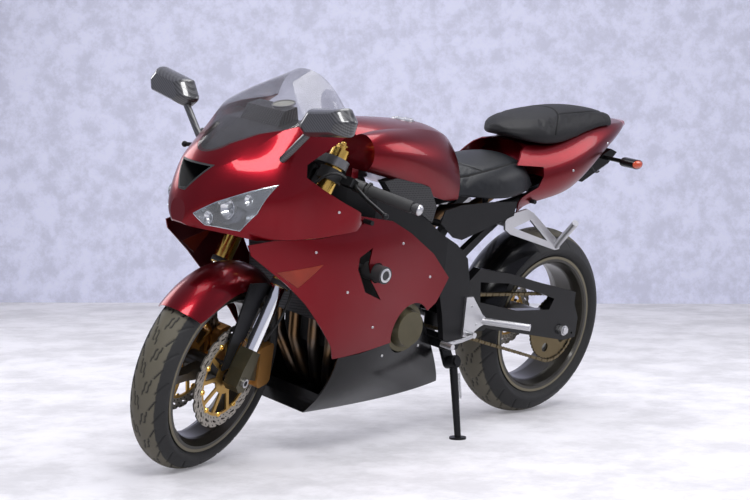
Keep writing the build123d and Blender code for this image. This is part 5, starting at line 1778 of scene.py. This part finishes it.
@dataclass
class AxleDetails:
    """Nuts and bolt heads on the rear axle and the swingarm's pivot."""

    fitter: Fitter
    axle: Pair = (0.0, 315.0)
    pivot: Pair = (566.0, 424.0)
    clear: float = 400.0

    def build(self) -> None:
        """Builds the nuts and heads, each on a washer."""
        machine = self.fitter.machine
        outward = (machine.at(0.0, 1000.0, 315.0) - machine.at(0.0, 0.0, 315.0)).normalized()
        for name, node, (x, z), side, size in (
            ("rear_axle_nut", "rear_axle", self.axle, Side.LEFT, 0.0135),
            ("rear_axle_head", "rear_axle", self.axle, Side.RIGHT, 0.0125),
            ("pivot_nut", "swingarm", self.pivot, Side.LEFT, 0.0140),
            ("pivot_head", "swingarm", self.pivot, Side.RIGHT, 0.0140),
        ):
            aim = outward * -side.value
            spot = machine.at(x, self.clear * side.value, z)
            hit = Surface(node).meet(spot + Vector((0.0, 0.0, 0.001)), aim)
            if hit is None:
                log.warning("no surface for %s", name)
                continue
            shape = bmesh.new()
            place = face_up(hit[0], -aim)
            bmesh.ops.create_cone(shape, cap_ends=True, segments=6, radius1=size, radius2=size, depth=0.008,
                                  matrix=place @ Matrix.Translation((0.0, 0.0, 0.004)))
            bmesh.ops.create_cone(shape, cap_ends=True, segments=24, radius1=size * 1.25, radius2=size * 1.25,
                                  depth=0.0024, matrix=place @ Matrix.Translation((0.0, 0.0, 0.0012)))
            bmesh.ops.bevel(shape, geom=shape.edges[:], offset=0.0006, segments=2, profile=0.5, affect="EDGES",
                            material=-1)
            self.fitter.fit(finish_mesh(name, shape), "machined_steel", Body.CHASSIS)


@dataclass
class BodyDetails:
    """Cap screws, dial, tail hook, bung rings, indicator lenses and mirror glasses."""

    fitter: Fitter
    bung: Pair = (1008.0, 592.0)
    tank_cap: float = 723.0
    cap_screw_circle: float = 27.0
    indicator_tip: Triple = (-232.0, 186.0, 872.0)
    indicator_size: Triple = (27.0, 9.0, 14.0)
    mirror_back: float = 1311.8
    mirror_middle: Pair = (322.0, 1025.0)
    mirror: tuple[Pair, ...] = (
        (255, 1054), (385, 1075), (415, 1042), (405, 1002), (250, 977), (220, 1001),
    )

    def build(self) -> None:
        """Builds the small pieces of the bodywork."""
        machine = self.fitter.machine
        surface = Surface("fuel_cap")
        down = (machine.at(self.tank_cap, 0.0, 0.0) - machine.at(self.tank_cap, 0.0, 1000.0)).normalized()
        shape = bmesh.new()
        for k in range(7):
            angle = 2 * math.pi * k / 7
            ahead, left = (self.cap_screw_circle * turn for turn in (math.cos(angle), math.sin(angle)))
            hit = surface.meet(machine.at(self.tank_cap + ahead, left, 1300.0), down)
            if hit:
                add_screw(shape, face_up(*hit), 0.0030, 0.0016)
        self.fitter.fit(finish_mesh("cap_screws", shape), "machined_steel", Body.CHASSIS)
        eye = machine.at(1180.0, 26.0, 1080.0)
        hit = Surface("dash").meet(eye, machine.at(1250.0, 26.0, 1004.0) - eye)
        if hit:
            place = face_up(*hit)
            dial = draw_ring("dial_rim", place, [(0.0300, 0.0), (0.0335, 0.0), (0.0335, 0.0045), (0.0300, 0.0045)])
            self.fitter.fit(dial, "machined_steel", Body.CHASSIS)
            face = draw_ring("dial_face", place, [(0.0001, 0.0), (0.0300, 0.0), (0.0300, 0.0015), (0.0001, 0.0015)])
            self.fitter.fit(face, "dial_face", Body.CHASSIS)
        hook = draw_tube("tail_hook", [machine.at(*p) for p in (
            (-150, 60, 846), (-158, 66, 828), (-172, 70, 820), (-184, 70, 830))], 0.0028)
        self.fitter.fit(hook, "black_moulding", Body.CHASSIS)
        for side in Side:
            self.build_side(side)

    def build_side(self, side: Side) -> None:
        """Builds the pieces that both sides have.

        Args:
            side: the side.
        """
        machine = self.fitter.machine
        name = side.name.lower()
        inward = machine.at(0.0, 0.0, 0.0) - machine.at(0.0, 100.0 * side.value, 0.0)
        hit = Surface("crash_bungs").meet(machine.at(self.bung[0], 420.0 * side.value, self.bung[1]), inward)
        if hit:
            ring = draw_ring(f"{name}_bung_ring", face_up(*hit), [
                (0.0130, 0.0), (0.0200, 0.0), (0.0200, 0.0020), (0.0185, 0.0030), (0.0140, 0.0030), (0.0130, 0.0012)])
            self.fitter.fit(ring, "cast_alloy", Body.CHASSIS)
        dome = bmesh.new()
        swell = Matrix.Diagonal((*self.indicator_size, 1.0))
        ahead, left, up = self.indicator_tip
        tip = Matrix.Translation((ahead, left * side.value, up))
        bmesh.ops.create_uvsphere(dome, u_segments=32, v_segments=16, radius=1.0, matrix=machine.place @ tip @ swell)
        self.fitter.fit(finish_mesh(f"{name}_indicator_lens", dome, True), "orange_lens", Body.CHASSIS)
        facing = Matrix(((0, 0, -1, self.mirror_back), (1, 0, 0, 0), (0, 1, 0, 0), (0, 0, 0, 1)))
        left, up = self.mirror_middle
        outline = [((left + (y - left) * 0.8) * side.value, up + (z - up) * 0.78) for y, z in self.mirror]
        glass = draw_plate(f"{name}_mirror_glass", outline, machine.place @ facing, 1.6)
        self.fitter.fit(glass, "mirror_glass", Body.CHASSIS)


def main() -> None:
    """Builds the studio and dresses every node and piece."""
    logging.basicConfig(level=logging.INFO, format="%(name)s: %(message)s")
    machine = Machine()
    Studio(machine.axle("rear_wheel_spin")).build()
    finishes = Finishes(machine)
    fitter = Fitter(machine, finishes)
    for finish, nodes in NODE_FINISH.items():
        for node in nodes:
            if node in frame["nodes"]:
                finishes.assign(frame["nodes"][node], finish)
                log.info("node %s has finish %s", node, finish)
    Tyre(fitter, "front_tyre", "front_wheel_spin", Body.FRONT_WHEEL, radius=0.294, half_width=0.059, crown=0.062,
         bead=0.0447, repeats=20).build()
    Tyre(fitter, "rear_tyre", "rear_wheel_spin", Body.REAR_WHEEL, radius=0.315, half_width=0.088, crown=0.095,
         bead=0.0687, repeats=21).build()
    for assembly in (Seats, DriveChain, Headlamps, SteeringDetails, PanelScrews, DiscBobbins, StandSpring,
                     AxleDetails, BodyDetails):
        assembly(fitter).build()


if __name__ == "__main__":
    main()
